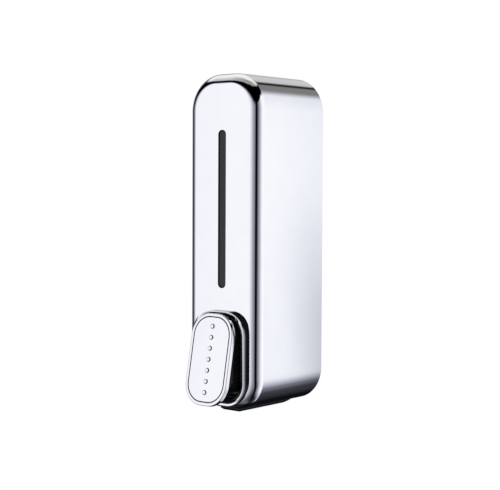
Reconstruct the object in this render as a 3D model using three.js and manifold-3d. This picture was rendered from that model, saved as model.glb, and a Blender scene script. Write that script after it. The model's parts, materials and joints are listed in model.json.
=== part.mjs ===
// Wall-mounted soap dispenser with a tilting push button. Millimetres, +Z up.
// The origin is the centre of the wall bracket's back face. The wall is the plane
// Y = 0 and the front of the dispenser faces -Y.

import * as THREE from 'three';
import { mergeVertices } from 'three/addons/utils/BufferGeometryUtils.js';
import Module from 'manifold-3d';

const wasm = await Module();
wasm.setup();

// Clearances
const fit = 0.3; // between two pieces that meet
const overrun = 2; // how far a cutting shape passes the face that it cuts
const weld = 0.5; // how deep a rib or boss is rooted in the wall that carries it

// Cover
const coverWidth = 58;
const coverHeight = 210;
const coverDepth = 66;
const coverCorner = 23;
const coverFootCorner = 21.8; // radius of the lower corners
const frontRound = 7; // radius of the rounded front edge
const coverWall = 2.2;
const rimGap = 0.5; // between the cover's rim and the wall

// Slot, lens and retainer
const slotWidth = 5.9;
const slotCorner = 2.6;
const slotDrop = 35.4; // from the cover's top to the slot
const slotRise = 14.5; // from the collar's top to the slot
const lensLap = 3.2; // how far the lens reaches past the slot
const lensThickness = 1.6;
const lensCorner = 4;
const lensRecess = 0.6; // from the front face back to the lens
const retainerWall = 1.6;
const retainerSight = 1; // how far the retainer's opening stays clear of the slot

// Collar
const collarMargin = 7.3; // from the collar to the cover's side
const collarRise = 3; // from the cover's bottom to the collar
const collarHeight = 58.8;
const collarCorner = 15;
const collarProud = 3.4; // how far the collar stands off the front
const collarRim = 3.5;
const collarEdge = 0.4; // rounding of the rim's outer edge
const collarReach = 8; // depth of the tube behind the front face
const tubeWall = 1.5;
const barbHeight = 14;
const barbProud = 1.6;
const barbLength = 3;

// Button
const capTiltDegrees = 10.5;
const capSideGap = 1.4; // from the cap to the collar's opening, each side
const capLap = 2.9; // how far the cap covers the collar's rim, each end
const capCornerShare = 0.41667; // corner radius as a share of the cap's width
const capThickness = 3.2;
const capEdge = 0.5;
const capBorder = 2; // from the cap's edge to the groove line
const grooveGap = 0.6;
const plateInset = 1.6; // thickness of the inlaid plate
const dotCount = 7; // raised dots down the middle of the plate
const dotPitch = 6.88;
const dotRadius = 1.5;
const dotHeight = 0.5;
const dotEdge = 0.3;
const capTopRise = 5.5; // from the pivot up to the cap's top edge
const pivotDrop = 8.8; // from the collar's top to the pivot
const pivotDepth = 5; // from the front face to the pivot
const pinRadius = 1.5;
const neckSideGap = 3;
const neckEndGap = 4;
const neckTopRise = 2.6;
const neckInner = 3; // from the pivot back to the neck's open rear
const neckWall = 2.2;
const neckBridge = 6; // solid depth of the neck under the pivot
const nubRadius = 3;
const nubBossRadius = 4.5;
const padRadius = 4;
const padDepth = 8; // from the pivot to the dome's centre with the button pressed

// Bracket and chassis
const bracketWidth = 40;
const bracketHeight = 110;
const bracketCorner = 6;
const bracketThickness = 2.5;
const wallSlotWidth = 6;
const wallSlotHeight = 10;
const wallSlotInset = 10;
const hookPitch = 64;
const hookWidth = 14;
const hookNeck = 4;
const lipRise = 8;
const lipThickness = 2.2;
const liftTravel = 9;
const plateThickness = 2.4;
const lipRoom = 1; // between a hook's lip and the tank
const windowRoom = 0.5;
const shelfHeight = 26; // from the pump's axis to the top of the shelf
const shelfReach = 46; // from the chassis plate to the shelf's front
const shelfSide = 2.5; // from the plate's side to the shelf's
const shelfCorner = 6;
const gussetDrop = 25;
const gussetThickness = 2;

// Tank and filler
const tankSide = 1.5; // between the tank and the cover's inside
const tubeRoom = 1.5; // between the collar's tube and the tank
const capRoom = 14.8; // room over the tank for the filler cap
const tankWall = 1.6;
const tankFoot = 5; // radius of the tank's lower corners
const tankEdge = 2.5;
const neckRadius = 12.5;
const neckRise = 6.6;
const neckRoot = 4;
const gasketThickness = 1.2;
const fillerRoof = 1.4;
const fillerSkirt = 6;
const fillerWall = 2;
const gripHeight = 1.6;
const gripWidth = 4;
const gripInset = 5;
const knurlCount = 24;
const knurlRadius = 0.5;

// Pump
const pumpRise = 25; // from the cover's bottom to the pump's axis
const valveSetback = 8.3; // from the tank's back to the valves
const boreRadius = 7.5;
const pumpWall = 2.5;
const portRadius = 3.5;
const portReach = 5;
const towerWall = 1.8;
const chamberRadius = 3.2;
const seatRadius = 1.8;
const seatThickness = 1.4;
const strainerRadius = 1.6;
const socketRadius = 7.2;
const socketWall = 1.4;
const socketDepth = 5;
const flangeWidth = 32;
const flangeSetback = 8.8;
const flangeThickness = 3;
const flangeCorner = 3;
const ballRadius = 2.5;
const glandThickness = 2.9;
const glandWall = 1.7;
const glandLap = 5;
const rodRadius = 2.5;
const headRadius = 6;
const headThickness = 2.4;
const pistonLength = 7;
const pistonBlind = 5;
const ringWidth = 2;
const ringDepth = 1.6;
const spigotRadius = 4.5;
const spigotWall = 1.5;
const spigotLength = 7.5;
const sealThickness = 2.5;
const returnWire = 1;
const returnRadius = 5.5;
const valveWire = 0.5;
const valveRadius = 2.3;
const springCurls = 5;

// Spout
const spoutWidth = 18;
const spoutDrop = 2.5; // below the cover's bottom
const spoutRise = 10; // above the cover's bottom
const spoutSetback = 8; // behind the front face
const spoutCorner = 3;
const spoutNose = 2;
const spoutSlope = 8; // length of the slanted rear end
const spoutSocket = 4.5;
const channelRadius = 2.2;
const channelFloor = 2.3;
const nozzleSetback = 19.5; // behind the front face
const nozzleRadius = 3.2;
const tipHole = 1.2;
const tipLength = 1.8;
const notchGap = 0.4;

// Fasteners and catches
const screwHead = 2.7;
const screwHeadHeight = 1.8;
const screwShank = 1.4;
const driveShares = { length: 0.6, width: 0.15, depth: 0.5 }; // of the head, for the cross
const pumpScrewInset = 3.7;
const spoutScrewInset = 3.2;
const spoutScrewLength = 6;
const catchZ = 20;
const catchHeight = 16;
const catchThickness = 0.5;
const catchFoot = 7;
const catchReach = 14;
const catchGap = 0.4;

// Steps of the curved outlines: fine on the shells that show, plain inside
const fineSteps = 8;
const plainSteps = 5;
const fineEdgeSteps = 5;
const plainEdgeSteps = 2;
const turnSteps = 24;
const smallTurnSteps = 16;

// Places in the dispenser
const tilt = THREE.MathUtils.degToRad(capTiltDegrees);
const topZ = coverHeight / 2;
const bottomZ = -coverHeight / 2;
const frontY = -(rimGap + coverDepth);
const plateBackY = -(bracketThickness + fit);
const plateFrontY = plateBackY - plateThickness;
const tankBackY = plateFrontY - fit - lipThickness - lipRoom;
const valveY = tankBackY - valveSetback;
const collarZ = bottomZ + collarRise + collarHeight / 2;
const pivotZ = collarZ + collarHeight / 2 - pivotDrop;
const pivotY = frontY + pivotDepth;
const pumpZ = bottomZ + pumpRise;
const shelfTopZ = pumpZ + shelfHeight;
const shelfBottomZ = shelfTopZ - plateThickness;
const plateWidth = coverWidth - 2 * (coverWall + fit);
const shelfWidth = plateWidth - 2 * shelfSide;
const tankBottomZ = shelfTopZ + fit;
const tankTopZ = topZ - coverWall - capRoom;
const tankFrontY = frontY + collarReach + tubeRoom;
const spoutTopZ = bottomZ + spoutRise;
const spoutBottomZ = bottomZ - spoutDrop;
const spoutFloorZ = spoutTopZ - spoutSocket; // where the pump's outlet ends
const slotTopZ = topZ - slotDrop;
const slotBottomZ = collarZ + collarHeight / 2 + slotRise;

// Sizes that follow from the ones above
const slotLength = slotTopZ - slotBottomZ;
const collarWidth = coverWidth - 2 * collarMargin;
const openWidth = collarWidth - 2 * collarRim;
const openHeight = collarHeight - 2 * collarRim;
const openCorner = collarCorner - collarRim;
const tubeWidth = openWidth + 2 * tubeWall;
const tubeHeight = openHeight + 2 * tubeWall;
const tubeCorner = openCorner + tubeWall;
const pinLength = tubeWidth - 2 * fit; // its ends lie in the collar's tube
const capWidth = openWidth - 2 * capSideGap;
const capHeight = openHeight + 2 * capLap;
const capCorner = capWidth * capCornerShare;
const neckDrop = openHeight - (pivotDrop - collarRim) - neckEndGap;
const armLength = pivotZ - pumpZ;
const capBackY = (pivotDepth + collarProud + fit + capTopRise * Math.sin(tilt)) / Math.cos(tilt);
const tankWidth = coverWidth - 2 * (coverWall + tankSide);
const tankCorner = coverCorner - coverWall - tankSide;
const bodyRadius = boreRadius + pumpWall;
const bossRadius = portRadius + pumpWall;
const towerRadius = chamberRadius + towerWall;
const stemTop = shelfBottomZ - fit - pumpZ; // top of the pump's flange above its axis
const socketFloor = stemTop - socketDepth;
const inletSeatZ = socketFloor - seatThickness;
const outletSeatZ = -portRadius - seatThickness;
const pumpScrewX = flangeWidth / 2 - pumpScrewInset;
const spoutScrewX = spoutWidth / 2 - spoutScrewInset;
const spoutScrewZ = spoutTopZ - spoutScrewInset;

// How far a ball's centre lies from the rim of the seat that it closes
const seatedDepth = Math.sqrt(ballRadius ** 2 - seatRadius ** 2) + fit;

// The chain from the button's rubber dome to the return spring
const padRest = padDepth * Math.cos(tilt) - armLength * Math.sin(tilt);
const stroke = padDepth - padRest;
const headFrontY = pivotY + padRest + padRadius + fit;
const headBackY = headFrontY + headThickness;
const glandFrontY = headBackY + stroke + fit;
const pumpFrontY = glandFrontY + glandThickness + fit;
const pistonFrontY = pumpFrontY + fit;
const pistonBackY = pistonFrontY + pistonLength;
const boreEndY = valveY - towerRadius - pumpWall + weld;

const materials = {
  chrome: { color: 0xe9eaf0, roughness: 0.05, metalness: 1 },
  smoked: { color: 0x36363a, roughness: 0.12, metalness: 0 },
  black: { color: 0x0c0c0e, roughness: 0.25, metalness: 0 },
  white: { color: 0xd9dad8, roughness: 0.5, metalness: 0 },
  clear: { color: 0xd6e0dc, roughness: 0.3, metalness: 0 },
  rubber: { color: 0x1d1d1f, roughness: 0.85, metalness: 0 },
  steel: { color: 0xb4b6ba, roughness: 0.3, metalness: 1 },
};

// A closed geometry as a solid with its faces turned out
function solid(geometry) {
  const bare = geometry.clone();
  bare.deleteAttribute('normal');
  bare.deleteAttribute('uv');
  const merged = mergeVertices(bare);
  const position = merged.getAttribute('position');
  const index = merged.getIndex().array;
  const corner = [new THREE.Vector3(), new THREE.Vector3(), new THREE.Vector3()];
  const triangles = [];
  let volume = 0;
  for (let i = 0; i < index.length; i += 3) {
    const triple = [index[i], index[i + 1], index[i + 2]];
    if (new Set(triple).size === 3) {
      triple.forEach((vertex, place) => corner[place].fromBufferAttribute(position, vertex));
      volume += corner[0].dot(corner[1].cross(corner[2]));
      triangles.push(...triple);
    }
  }
  if (volume < 0) {
    triangles.reverse();
  }
  return new wasm.Manifold(new wasm.Mesh({
    numProp: 3,
    vertProperties: new Float32Array(position.array),
    triVerts: new Uint32Array(triangles),
  }));
}

// A named piece from a solid
function piece(name, body, finish) {
  const mesh = body.getMesh();
  const geometry = new THREE.BufferGeometry();
  geometry.setAttribute('position', new THREE.BufferAttribute(mesh.vertProperties, 3));
  geometry.setIndex(new THREE.BufferAttribute(mesh.triVerts, 1));
  geometry.computeVertexNormals();
  const made = new THREE.Mesh(geometry, new THREE.MeshStandardMaterial(materials[finish]));
  made.name = name;
  return made;
}

// Outline of a rounded rectangle whose upper and lower corners may differ
function outline(width, height, upper, lower = upper, steps = plainSteps) {
  const points = [];
  const corners = [[1, 1, upper], [-1, 1, upper], [-1, -1, lower], [1, -1, lower]];
  corners.forEach(([sideX, sideZ, radius], quarter) => {
    for (let step = 0; step <= steps; step += 1) {
      const angle = (quarter + step / steps) * Math.PI / 2;
      points.push(new THREE.Vector2(
        sideX * (width / 2 - radius) + radius * Math.cos(angle),
        sideZ * (height / 2 - radius) + radius * Math.sin(angle),
      ));
    }
  });
  return points;
}

// Outline of a rounded rectangle with fine corners
function fineOutline(width, height, radius) {
  return outline(width, height, radius, radius, fineSteps);
}

function extruded(points, depth) {
  return new THREE.ExtrudeGeometry(new THREE.Shape(points), { depth, bevelEnabled: false });
}

// An outline in X and Z carried along Y, from its back to its front
function alongY(points, back, front) {
  return solid(extruded(points, back - front).rotateX(Math.PI / 2).translate(0, back, 0));
}

// An outline in X and Y carried up Z
function alongZ(points, low, high) {
  return solid(extruded(points, high - low).translate(0, 0, low));
}

// An outline in Y and Z carried along X
function alongX(points, left, right) {
  const turn = new THREE.Matrix4().makeBasis(
    new THREE.Vector3(0, 1, 0),
    new THREE.Vector3(0, 0, 1),
    new THREE.Vector3(1, 0, 0),
  );
  return solid(extruded(points, right - left).applyMatrix4(turn).translate(left, 0, 0));
}

function polygon(...pairs) {
  return pairs.map(([first, second]) => new THREE.Vector2(first, second));
}

function box(x, y, z) {
  const size = [x, y, z].map(([low, high]) => high - low);
  const middle = [x, y, z].map(([low, high]) => (low + high) / 2);
  return solid(new THREE.BoxGeometry(...size).translate(...middle));
}

// A profile of radius and height turned about Z
function turnedZ(profile, steps = turnSteps) {
  return solid(new THREE.LatheGeometry(polygon(...profile), steps).rotateX(Math.PI / 2));
}

// A profile of radius and depth turned about Y
function turnedY(profile, steps = turnSteps) {
  return solid(new THREE.LatheGeometry(polygon(...profile), steps));
}

function diskProfile(radius, low, high) {
  return [[0, low], [radius, low], [radius, high], [0, high]];
}

function ringProfile(inner, outer, low, high) {
  return [[inner, low], [outer, low], [outer, high], [inner, high], [inner, low]];
}

// A ball with its poles on Z
function ball(radius) {
  return solid(new THREE.SphereGeometry(radius, smallTurnSteps, smallTurnSteps / 2).rotateX(Math.PI / 2));
}

// A block with the outline of a rounded rectangle in X and Z, whose front and back
// edges may be rounded
function block({
  width,
  height,
  upper,
  lower = upper,
  back,
  front,
  frontEdge = 0,
  backEdge = 0,
  cornerSteps = plainSteps,
  edgeSteps = plainEdgeSteps,
}) {
  const rings = [];
  const addRing = (inset, y) => {
    const points = outline(
      width - 2 * inset,
      height - 2 * inset,
      Math.max(upper - inset, 0),
      Math.max(lower - inset, 0),
      cornerSteps,
    );
    rings.push(points.map((point) => new THREE.Vector3(point.x, y, point.y)));
  };
  const addEdge = (radius, end, inward, order) => {
    const steps = radius > 0 ? edgeSteps : 0;
    for (let step = 0; step <= steps; step += 1) {
      const share = steps > 0 ? (order > 0 ? step : steps - step) / steps : 1;
      const angle = share * Math.PI / 2;
      addRing(radius * (1 - Math.sin(angle)), end + inward * radius * (1 - Math.cos(angle)));
    }
  };
  addEdge(backEdge, back, -1, 1);
  addEdge(frontEdge, front, 1, -1);
  return solid(loft(rings));
}

// A skin over rings of equally many points, closed with a fan at each end
function loft(rings) {
  const count = rings[0].length;
  const vertices = rings.flat();
  const triangles = [];
  for (let ring = 0; ring + 1 < rings.length; ring += 1) {
    for (let point = 0; point < count; point += 1) {
      const next = (point + 1) % count;
      const near = ring * count;
      const far = near + count;
      triangles.push(near + point, near + next, far + next);
      triangles.push(near + point, far + next, far + point);
    }
  }
  const ends = [[rings[0], 0], [rings[rings.length - 1], (rings.length - 1) * count]];
  ends.forEach(([ring, start], end) => {
    const centre = vertices.length;
    const middle = new THREE.Vector3();
    ring.forEach((point) => middle.addScaledVector(point, 1 / count));
    vertices.push(middle);
    for (let point = 0; point < count; point += 1) {
      const next = (point + 1) % count;
      const pair = end === 0 ? [start + next, start + point] : [start + point, start + next];
      triangles.push(centre, ...pair);
    }
  });
  const geometry = new THREE.BufferGeometry().setFromPoints(vertices);
  geometry.setIndex(triangles);
  return geometry;
}

// A compression spring along Z as one unbroken tube, straight for one wire
// diameter at each end. It prints the least gap between neighbouring curls.
function spring(name, meanRadius, wire, low, high) {
  const stepsPerCurl = 8;
  const sides = 5;
  const start = low + wire / 2;
  const rise = high - low - wire;
  const slope = rise / (springCurls * 2 * Math.PI);
  const rings = [];
  const centres = [];
  const addRing = (angle, shift) => {
    const out = new THREE.Vector3(Math.cos(angle), Math.sin(angle), 0);
    const along = new THREE.Vector3(-Math.sin(angle) * meanRadius, Math.cos(angle) * meanRadius, slope);
    along.normalize();
    const up = new THREE.Vector3().crossVectors(out, along);
    const centre = out.clone().multiplyScalar(meanRadius);
    centre.z = start + slope * angle;
    centre.add(new THREE.Vector3(along.x, along.y, 0).multiplyScalar(shift));
    centres.push(centre);
    const points = [];
    for (let side = 0; side < sides; side += 1) {
      const turn = side / sides * 2 * Math.PI;
      const point = centre.clone();
      point.addScaledVector(out, wire / 2 * Math.cos(turn));
      point.addScaledVector(up, wire / 2 * Math.sin(turn));
      points.push(point);
    }
    rings.push(points);
  };
  const last = springCurls * 2 * Math.PI;
  addRing(0, -wire);
  for (let step = 0; step <= springCurls * stepsPerCurl; step += 1) {
    addRing(step / stepsPerCurl * 2 * Math.PI, 0);
  }
  addRing(last, wire);
  let least = Infinity;
  for (let first = 0; first < centres.length; first += 1) {
    for (let second = first + stepsPerCurl / 2; second < centres.length; second += 1) {
      least = Math.min(least, centres[first].distanceTo(centres[second]) - wire);
    }
  }
  console.log(`${name}: least gap to itself ${least.toFixed(2)} mm`);
  return solid(loft(rings));
}

// A pan-head screw along Z with its head below zero and its shank above
function screw(length) {
  const head = turnedZ([
    [0, -screwHeadHeight],
    [screwHead / 2, -screwHeadHeight],
    [screwHead, -screwHeadHeight / 2],
    [screwHead, 0],
    [0, 0],
  ], smallTurnSteps);
  const drive = box(
    [-screwHead * driveShares.length, screwHead * driveShares.length],
    [-screwHead * driveShares.width, screwHead * driveShares.width],
    [-screwHeadHeight - overrun, -screwHeadHeight * (1 - driveShares.depth)],
  );
  const cross = drive.add(drive.rotate([0, 0, 90]));
  return head.add(turnedZ(diskProfile(screwShank, -weld, length), smallTurnSteps)).subtract(cross);
}

// Cover group: its origin is the middle of the front face, +Y runs inwards

function coverOuter(grow) {
  return block({
    width: coverWidth + 2 * grow,
    height: coverHeight + 2 * grow,
    upper: coverCorner + grow,
    lower: coverFootCorner + grow,
    back: coverDepth,
    front: -grow,
    frontEdge: frontRound + grow,
    cornerSteps: fineSteps,
    edgeSteps: fineEdgeSteps,
  });
}

function frontCover() {
  const cavity = block({
    width: coverWidth - 2 * coverWall,
    height: coverHeight - 2 * coverWall,
    upper: coverCorner - coverWall,
    lower: coverFootCorner - coverWall,
    back: coverDepth + overrun,
    front: coverWall,
    frontEdge: frontRound - coverWall,
    cornerSteps: fineSteps,
    edgeSteps: plainEdgeSteps,
  });
  const slot = alongY(fineOutline(slotWidth, slotLength, slotCorner), coverWall + overrun, -overrun)
    .translate([0, 0, (slotTopZ + slotBottomZ) / 2]);
  const hole = alongY(
    fineOutline(tubeWidth + 2 * fit, tubeHeight + 2 * fit, tubeCorner + fit),
    collarReach,
    -overrun,
  ).translate([0, 0, collarZ]);
  const notch = box(
    [-spoutWidth / 2 - notchGap, spoutWidth / 2 + notchGap],
    [spoutSetback - notchGap, coverDepth + overrun],
    [bottomZ - overrun, bottomZ + coverWall + overrun],
  );
  return piece('front_cover', coverOuter(0).subtract(cavity).subtract(slot).subtract(hole)
    .subtract(notch), 'chrome');
}

function buttonCollar() {
  const rim = block({
    width: collarWidth,
    height: collarHeight,
    upper: collarCorner,
    back: coverWall,
    front: -collarProud,
    frontEdge: collarEdge,
    cornerSteps: fineSteps,
  });
  const cover = coverOuter(fit).translate([0, 0, -collarZ]);
  const tube = alongY(fineOutline(tubeWidth, tubeHeight, tubeCorner), collarReach, -collarProud / 2);
  const opening = alongY(
    fineOutline(openWidth, openHeight, openCorner),
    collarReach + overrun,
    -collarProud - overrun,
  );
  const barbOutline = polygon(
    [tubeWidth / 2 - weld, coverWall + fit],
    [tubeWidth / 2 + barbProud, coverWall + fit],
    [tubeWidth / 2 - weld, coverWall + fit + barbLength],
  );
  const barb = alongZ(barbOutline, -barbHeight / 2, barbHeight / 2);
  const pinHole = turnedZ(diskProfile(pinRadius + fit, -coverWidth, coverWidth), smallTurnSteps)
    .rotate([0, 90, 0])
    .translate([0, pivotDepth, pivotZ - collarZ]);
  const made = piece('button_collar', rim.subtract(cover).add(tube).add(barb)
    .add(barb.mirror([1, 0, 0])).subtract(opening).subtract(pinHole), 'chrome');
  made.position.z = collarZ;
  return made;
}

function windowLens() {
  const plate = alongY(
    outline(slotWidth + 2 * lensLap, slotLength + 2 * lensLap, lensCorner),
    lensThickness,
    0,
  );
  const land = alongY(
    outline(slotWidth - 2 * fit, slotLength - 2 * fit, slotCorner - fit),
    lensThickness / 2,
    -(coverWall + fit - lensRecess),
  );
  return piece('window_lens', plate.add(land), 'smoked');
}

function windowRetainer() {
  const pocketDepth = lensThickness + fit;
  const pocket = lensLap + fit;
  const outside = pocket + retainerWall;
  const frame = alongY(
    outline(slotWidth + 2 * outside, slotLength + 2 * outside, lensCorner + fit + retainerWall),
    pocketDepth + retainerWall,
    0,
  );
  const recess = alongY(
    outline(slotWidth + 2 * pocket, slotLength + 2 * pocket, lensCorner + fit),
    pocketDepth,
    -overrun,
  );
  const sight = alongY(
    outline(slotWidth + 2 * retainerSight, slotLength + 2 * retainerSight, slotCorner + retainerSight),
    pocketDepth + retainerWall + overrun,
    -overrun,
  );
  return piece('window_retainer', frame.subtract(recess).subtract(sight), 'black');
}

// Button group: its origin is the pivot, and it hangs tilted with its lower end out

function buttonCap() {
  const slab = block({
    width: capWidth,
    height: capHeight,
    upper: capCorner,
    back: -capBackY,
    front: -capBackY - capThickness,
    frontEdge: capEdge,
    backEdge: capEdge,
    cornerSteps: fineSteps,
  });
  const pocket = alongY(
    fineOutline(capWidth - 2 * capBorder, capHeight - 2 * capBorder, capCorner - capBorder),
    -capBackY - capThickness + plateInset + fit,
    -capBackY - capThickness - overrun,
  );
  const made = piece('button_cap', slab.subtract(pocket), 'chrome');
  made.position.z = capTopRise - capHeight / 2;
  return made;
}

function buttonPlate() {
  const inset = capBorder + grooveGap;
  const front = -capBackY - capThickness;
  let plate = alongY(
    fineOutline(capWidth - 2 * inset, capHeight - 2 * inset, capCorner - inset),
    front + plateInset,
    front,
  );
  const profile = [
    [0, -dotHeight],
    [dotRadius - dotEdge, -dotHeight],
    [dotRadius, -dotHeight + dotEdge],
    [dotRadius, weld],
    [0, weld],
  ];
  for (let dot = 0; dot < dotCount; dot += 1) {
    const z = (dot - (dotCount - 1) / 2) * dotPitch;
    plate = plate.add(turnedY(profile, smallTurnSteps).translate([0, front, z]));
  }
  const made = piece('button_plate', plate, 'chrome');
  made.position.z = capTopRise - capHeight / 2;
  return made;
}

function buttonNeck() {
  const front = -capBackY + fit;
  const width = openWidth - 2 * neckSideGap;
  const corner = openCorner - neckSideGap;
  const middle = (neckTopRise - neckDrop) / 2;
  const body = alongY(outline(width, neckTopRise + neckDrop, corner), neckInner, front)
    .translate([0, 0, middle]);
  const pocketHeight = neckDrop - neckBridge - neckWall;
  const pocket = alongY(
    outline(width - 2 * neckWall, pocketHeight, corner - neckWall),
    neckInner + overrun,
    front + neckWall,
  ).translate([0, 0, -neckBridge - pocketHeight / 2]);
  const boss = turnedY(diskProfile(nubBossRadius, front + weld, neckInner));
  const nub = turnedY(diskProfile(nubRadius, 0, padDepth - fit));
  const bore = turnedZ(diskProfile(pinRadius + fit, -width, width), smallTurnSteps).rotate([0, 90, 0]);
  return piece('button_neck', body.subtract(pocket)
    .add(boss.add(nub).translate([0, 0, -armLength])).subtract(bore), 'black');
}

function buttonPad() {
  const profile = [[0, 0]];
  for (let step = 0; step <= plainSteps; step += 1) {
    const angle = step / plainSteps * Math.PI / 2;
    profile.push([padRadius * Math.cos(angle), padRadius * Math.sin(angle)]);
  }
  const made = piece('button_pad', turnedY(profile, smallTurnSteps), 'rubber');
  made.position.set(0, padDepth, -armLength);
  return made;
}

function pivotPin() {
  const made = piece(
    'button_pivot_pin',
    turnedZ(diskProfile(pinRadius, -pinLength / 2, pinLength / 2), smallTurnSteps),
    'steel',
  );
  made.rotation.y = Math.PI / 2;
  return made;
}

// Wall bracket, in the dispenser's own frame

function wallBracket() {
  let bracket = block({
    width: bracketWidth,
    height: bracketHeight,
    upper: bracketCorner,
    back: 0,
    front: -bracketThickness,
  });
  const slot = alongY(outline(wallSlotWidth, wallSlotHeight, wallSlotWidth / 2), overrun,
    -bracketThickness - overrun);
  const lipFront = -(bracketThickness + fit + plateThickness + fit + lipThickness);
  for (const side of [-1, 1]) {
    const hookZ = side * hookPitch / 2;
    const hook = polygon(
      [-bracketThickness + weld, hookZ - hookNeck / 2],
      [lipFront, hookZ - hookNeck / 2],
      [lipFront, hookZ + hookNeck / 2 + lipRise],
      [lipFront + lipThickness, hookZ + hookNeck / 2 + lipRise],
      [lipFront + lipThickness, hookZ + hookNeck / 2],
      [-bracketThickness + weld, hookZ + hookNeck / 2],
    );
    bracket = bracket.add(alongX(hook, -hookWidth / 2, hookWidth / 2));
    bracket = bracket.subtract(slot.translate([0, 0, side * (bracketHeight / 2 - wallSlotInset)]));
  }
  return piece('wall_bracket', bracket, 'steel');
}

// Chassis, in the dispenser's own frame

function chassis() {
  const rim = coverWall + fit;
  const plate = block({
    width: plateWidth,
    height: coverHeight - 2 * rim,
    upper: coverCorner - rim,
    lower: coverFootCorner - rim,
    back: plateBackY,
    front: plateFrontY,
  });
  const shelf = alongZ(
    outline(shelfWidth, 2 * shelfReach, shelfCorner),
    shelfBottomZ,
    shelfTopZ,
  ).translate([0, plateFrontY + weld, 0]);
  const behind = box(
    [-coverWidth, coverWidth],
    [plateFrontY + weld, coverDepth],
    [bottomZ, topZ],
  );
  let made = plate.add(shelf.subtract(behind));
  const gusset = polygon(
    [plateFrontY + weld, shelfBottomZ + weld],
    [plateFrontY + weld, shelfBottomZ - gussetDrop],
    [plateFrontY, shelfBottomZ - gussetDrop],
    [plateFrontY - shelfReach + shelfCorner, shelfBottomZ],
    [plateFrontY - shelfReach + shelfCorner, shelfBottomZ + weld],
  );
  const windowHeight = hookNeck + liftTravel + 2 * fit;
  for (const side of [-1, 1]) {
    const inner = shelfWidth / 2 - gussetThickness - weld;
    const rib = alongX(gusset, inner, inner + gussetThickness);
    made = made.add(side > 0 ? rib : rib.mirror([1, 0, 0]));
    const windowTop = side * hookPitch / 2 + hookNeck / 2 + fit;
    made = made.subtract(box(
      [-hookWidth / 2 - windowRoom, hookWidth / 2 + windowRoom],
      [plateFrontY - overrun, plateBackY + overrun],
      [windowTop - windowHeight, windowTop],
    ));
    made = made.subtract(turnedZ(
      diskProfile(screwShank + fit, shelfBottomZ - overrun, shelfTopZ + overrun),
      smallTurnSteps,
    ).translate([side * pumpScrewX, valveY, 0]));
    made = made.subtract(turnedY(
      diskProfile(screwShank + fit, plateFrontY - overrun, plateBackY + overrun),
      smallTurnSteps,
    ).translate([side * spoutScrewX, 0, spoutScrewZ]));
  }
  made = made.subtract(turnedZ(
    diskProfile(spigotRadius + 2 * fit, shelfBottomZ - overrun, shelfTopZ + overrun),
  ).translate([0, valveY, 0]));
  return piece('chassis', made, 'white');
}

// A spring leaf beside the tank, its foot on the chassis plate
function coverCatch(name, side) {
  const outer = coverWidth / 2 - coverWall - catchGap;
  const foot = plateFrontY - fit;
  const leaf = polygon(
    [outer - catchFoot, foot],
    [outer, foot],
    [outer, foot - catchReach],
    [outer - catchThickness, foot - catchReach],
    [outer - catchThickness, foot - catchThickness],
    [outer - catchFoot, foot - catchThickness],
  );
  const bent = alongZ(leaf, catchZ - catchHeight / 2, catchZ + catchHeight / 2);
  return piece(name, side > 0 ? bent : bent.mirror([1, 0, 0]), 'steel');
}

// Tank group: its origin is the middle of the tank's back at the tank's foot

function soapTank() {
  const height = tankTopZ - tankBottomZ;
  const depth = tankBackY - tankFrontY;
  const shell = block({
    width: tankWidth,
    height,
    upper: tankCorner,
    lower: tankFoot,
    back: 0,
    front: -depth,
    frontEdge: tankEdge,
    backEdge: tankEdge,
  }).translate([0, 0, height / 2]);
  const cavity = block({
    width: tankWidth - 2 * tankWall,
    height: height - 2 * tankWall,
    upper: tankCorner - tankWall,
    lower: tankFoot - tankWall,
    back: -tankWall,
    front: -depth + tankWall,
    frontEdge: tankEdge - tankWall,
    backEdge: tankEdge - tankWall,
  }).translate([0, 0, height / 2]);
  const neck = turnedZ(diskProfile(neckRadius, height - neckRoot, height + neckRise));
  const mouth = turnedZ(diskProfile(neckRadius - fillerWall - weld, height - neckRoot - overrun,
    height + neckRise + overrun));
  const spigot = turnedZ(diskProfile(spigotRadius, -spigotLength, tankWall / 2));
  const drain = turnedZ(diskProfile(spigotRadius - spigotWall, -spigotLength - overrun,
    tankWall + overrun));
  return piece('soap_tank', shell.subtract(cavity).add(neck.translate([0, -depth / 2, 0]))
    .subtract(mouth.translate([0, -depth / 2, 0]))
    .add(spigot.translate([0, -valveSetback, 0]))
    .subtract(drain.translate([0, -valveSetback, 0])), 'clear');
}

// Filler group: its origin is the middle of the neck's rim

function fillerGasket() {
  return piece('filler_gasket', turnedZ(ringProfile(
    neckRadius - fillerWall,
    neckRadius,
    fit,
    fit + gasketThickness,
  )), 'rubber');
}

function fillerCap() {
  const ceiling = gasketThickness + 2 * fit;
  const roof = ceiling + fillerRoof;
  const inner = neckRadius + fit;
  const outer = inner + fillerWall;
  const knurlReach = outer + knurlRadius / 2;
  let cap = turnedZ([
    [0, ceiling],
    [inner, ceiling],
    [inner, -fillerSkirt],
    [outer, -fillerSkirt],
    [outer, roof - capEdge],
    [outer - capEdge, roof],
    [0, roof],
  ]);
  for (let knurl = 0; knurl < knurlCount; knurl += 1) {
    const angle = knurl / knurlCount * 2 * Math.PI;
    const flute = turnedZ(diskProfile(knurlRadius, -fillerSkirt - overrun, roof + overrun), fineSteps)
      .translate([knurlReach * Math.cos(angle), knurlReach * Math.sin(angle), 0]);
    cap = cap.subtract(flute);
  }
  const grip = alongZ(outline(2 * (outer - gripInset), gripWidth, gripWidth / 2), roof - weld,
    roof + gripHeight);
  return piece('filler_cap', cap.add(grip), 'white');
}

// Pump group: its origin is where the pump's axis meets the line of the valves

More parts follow.
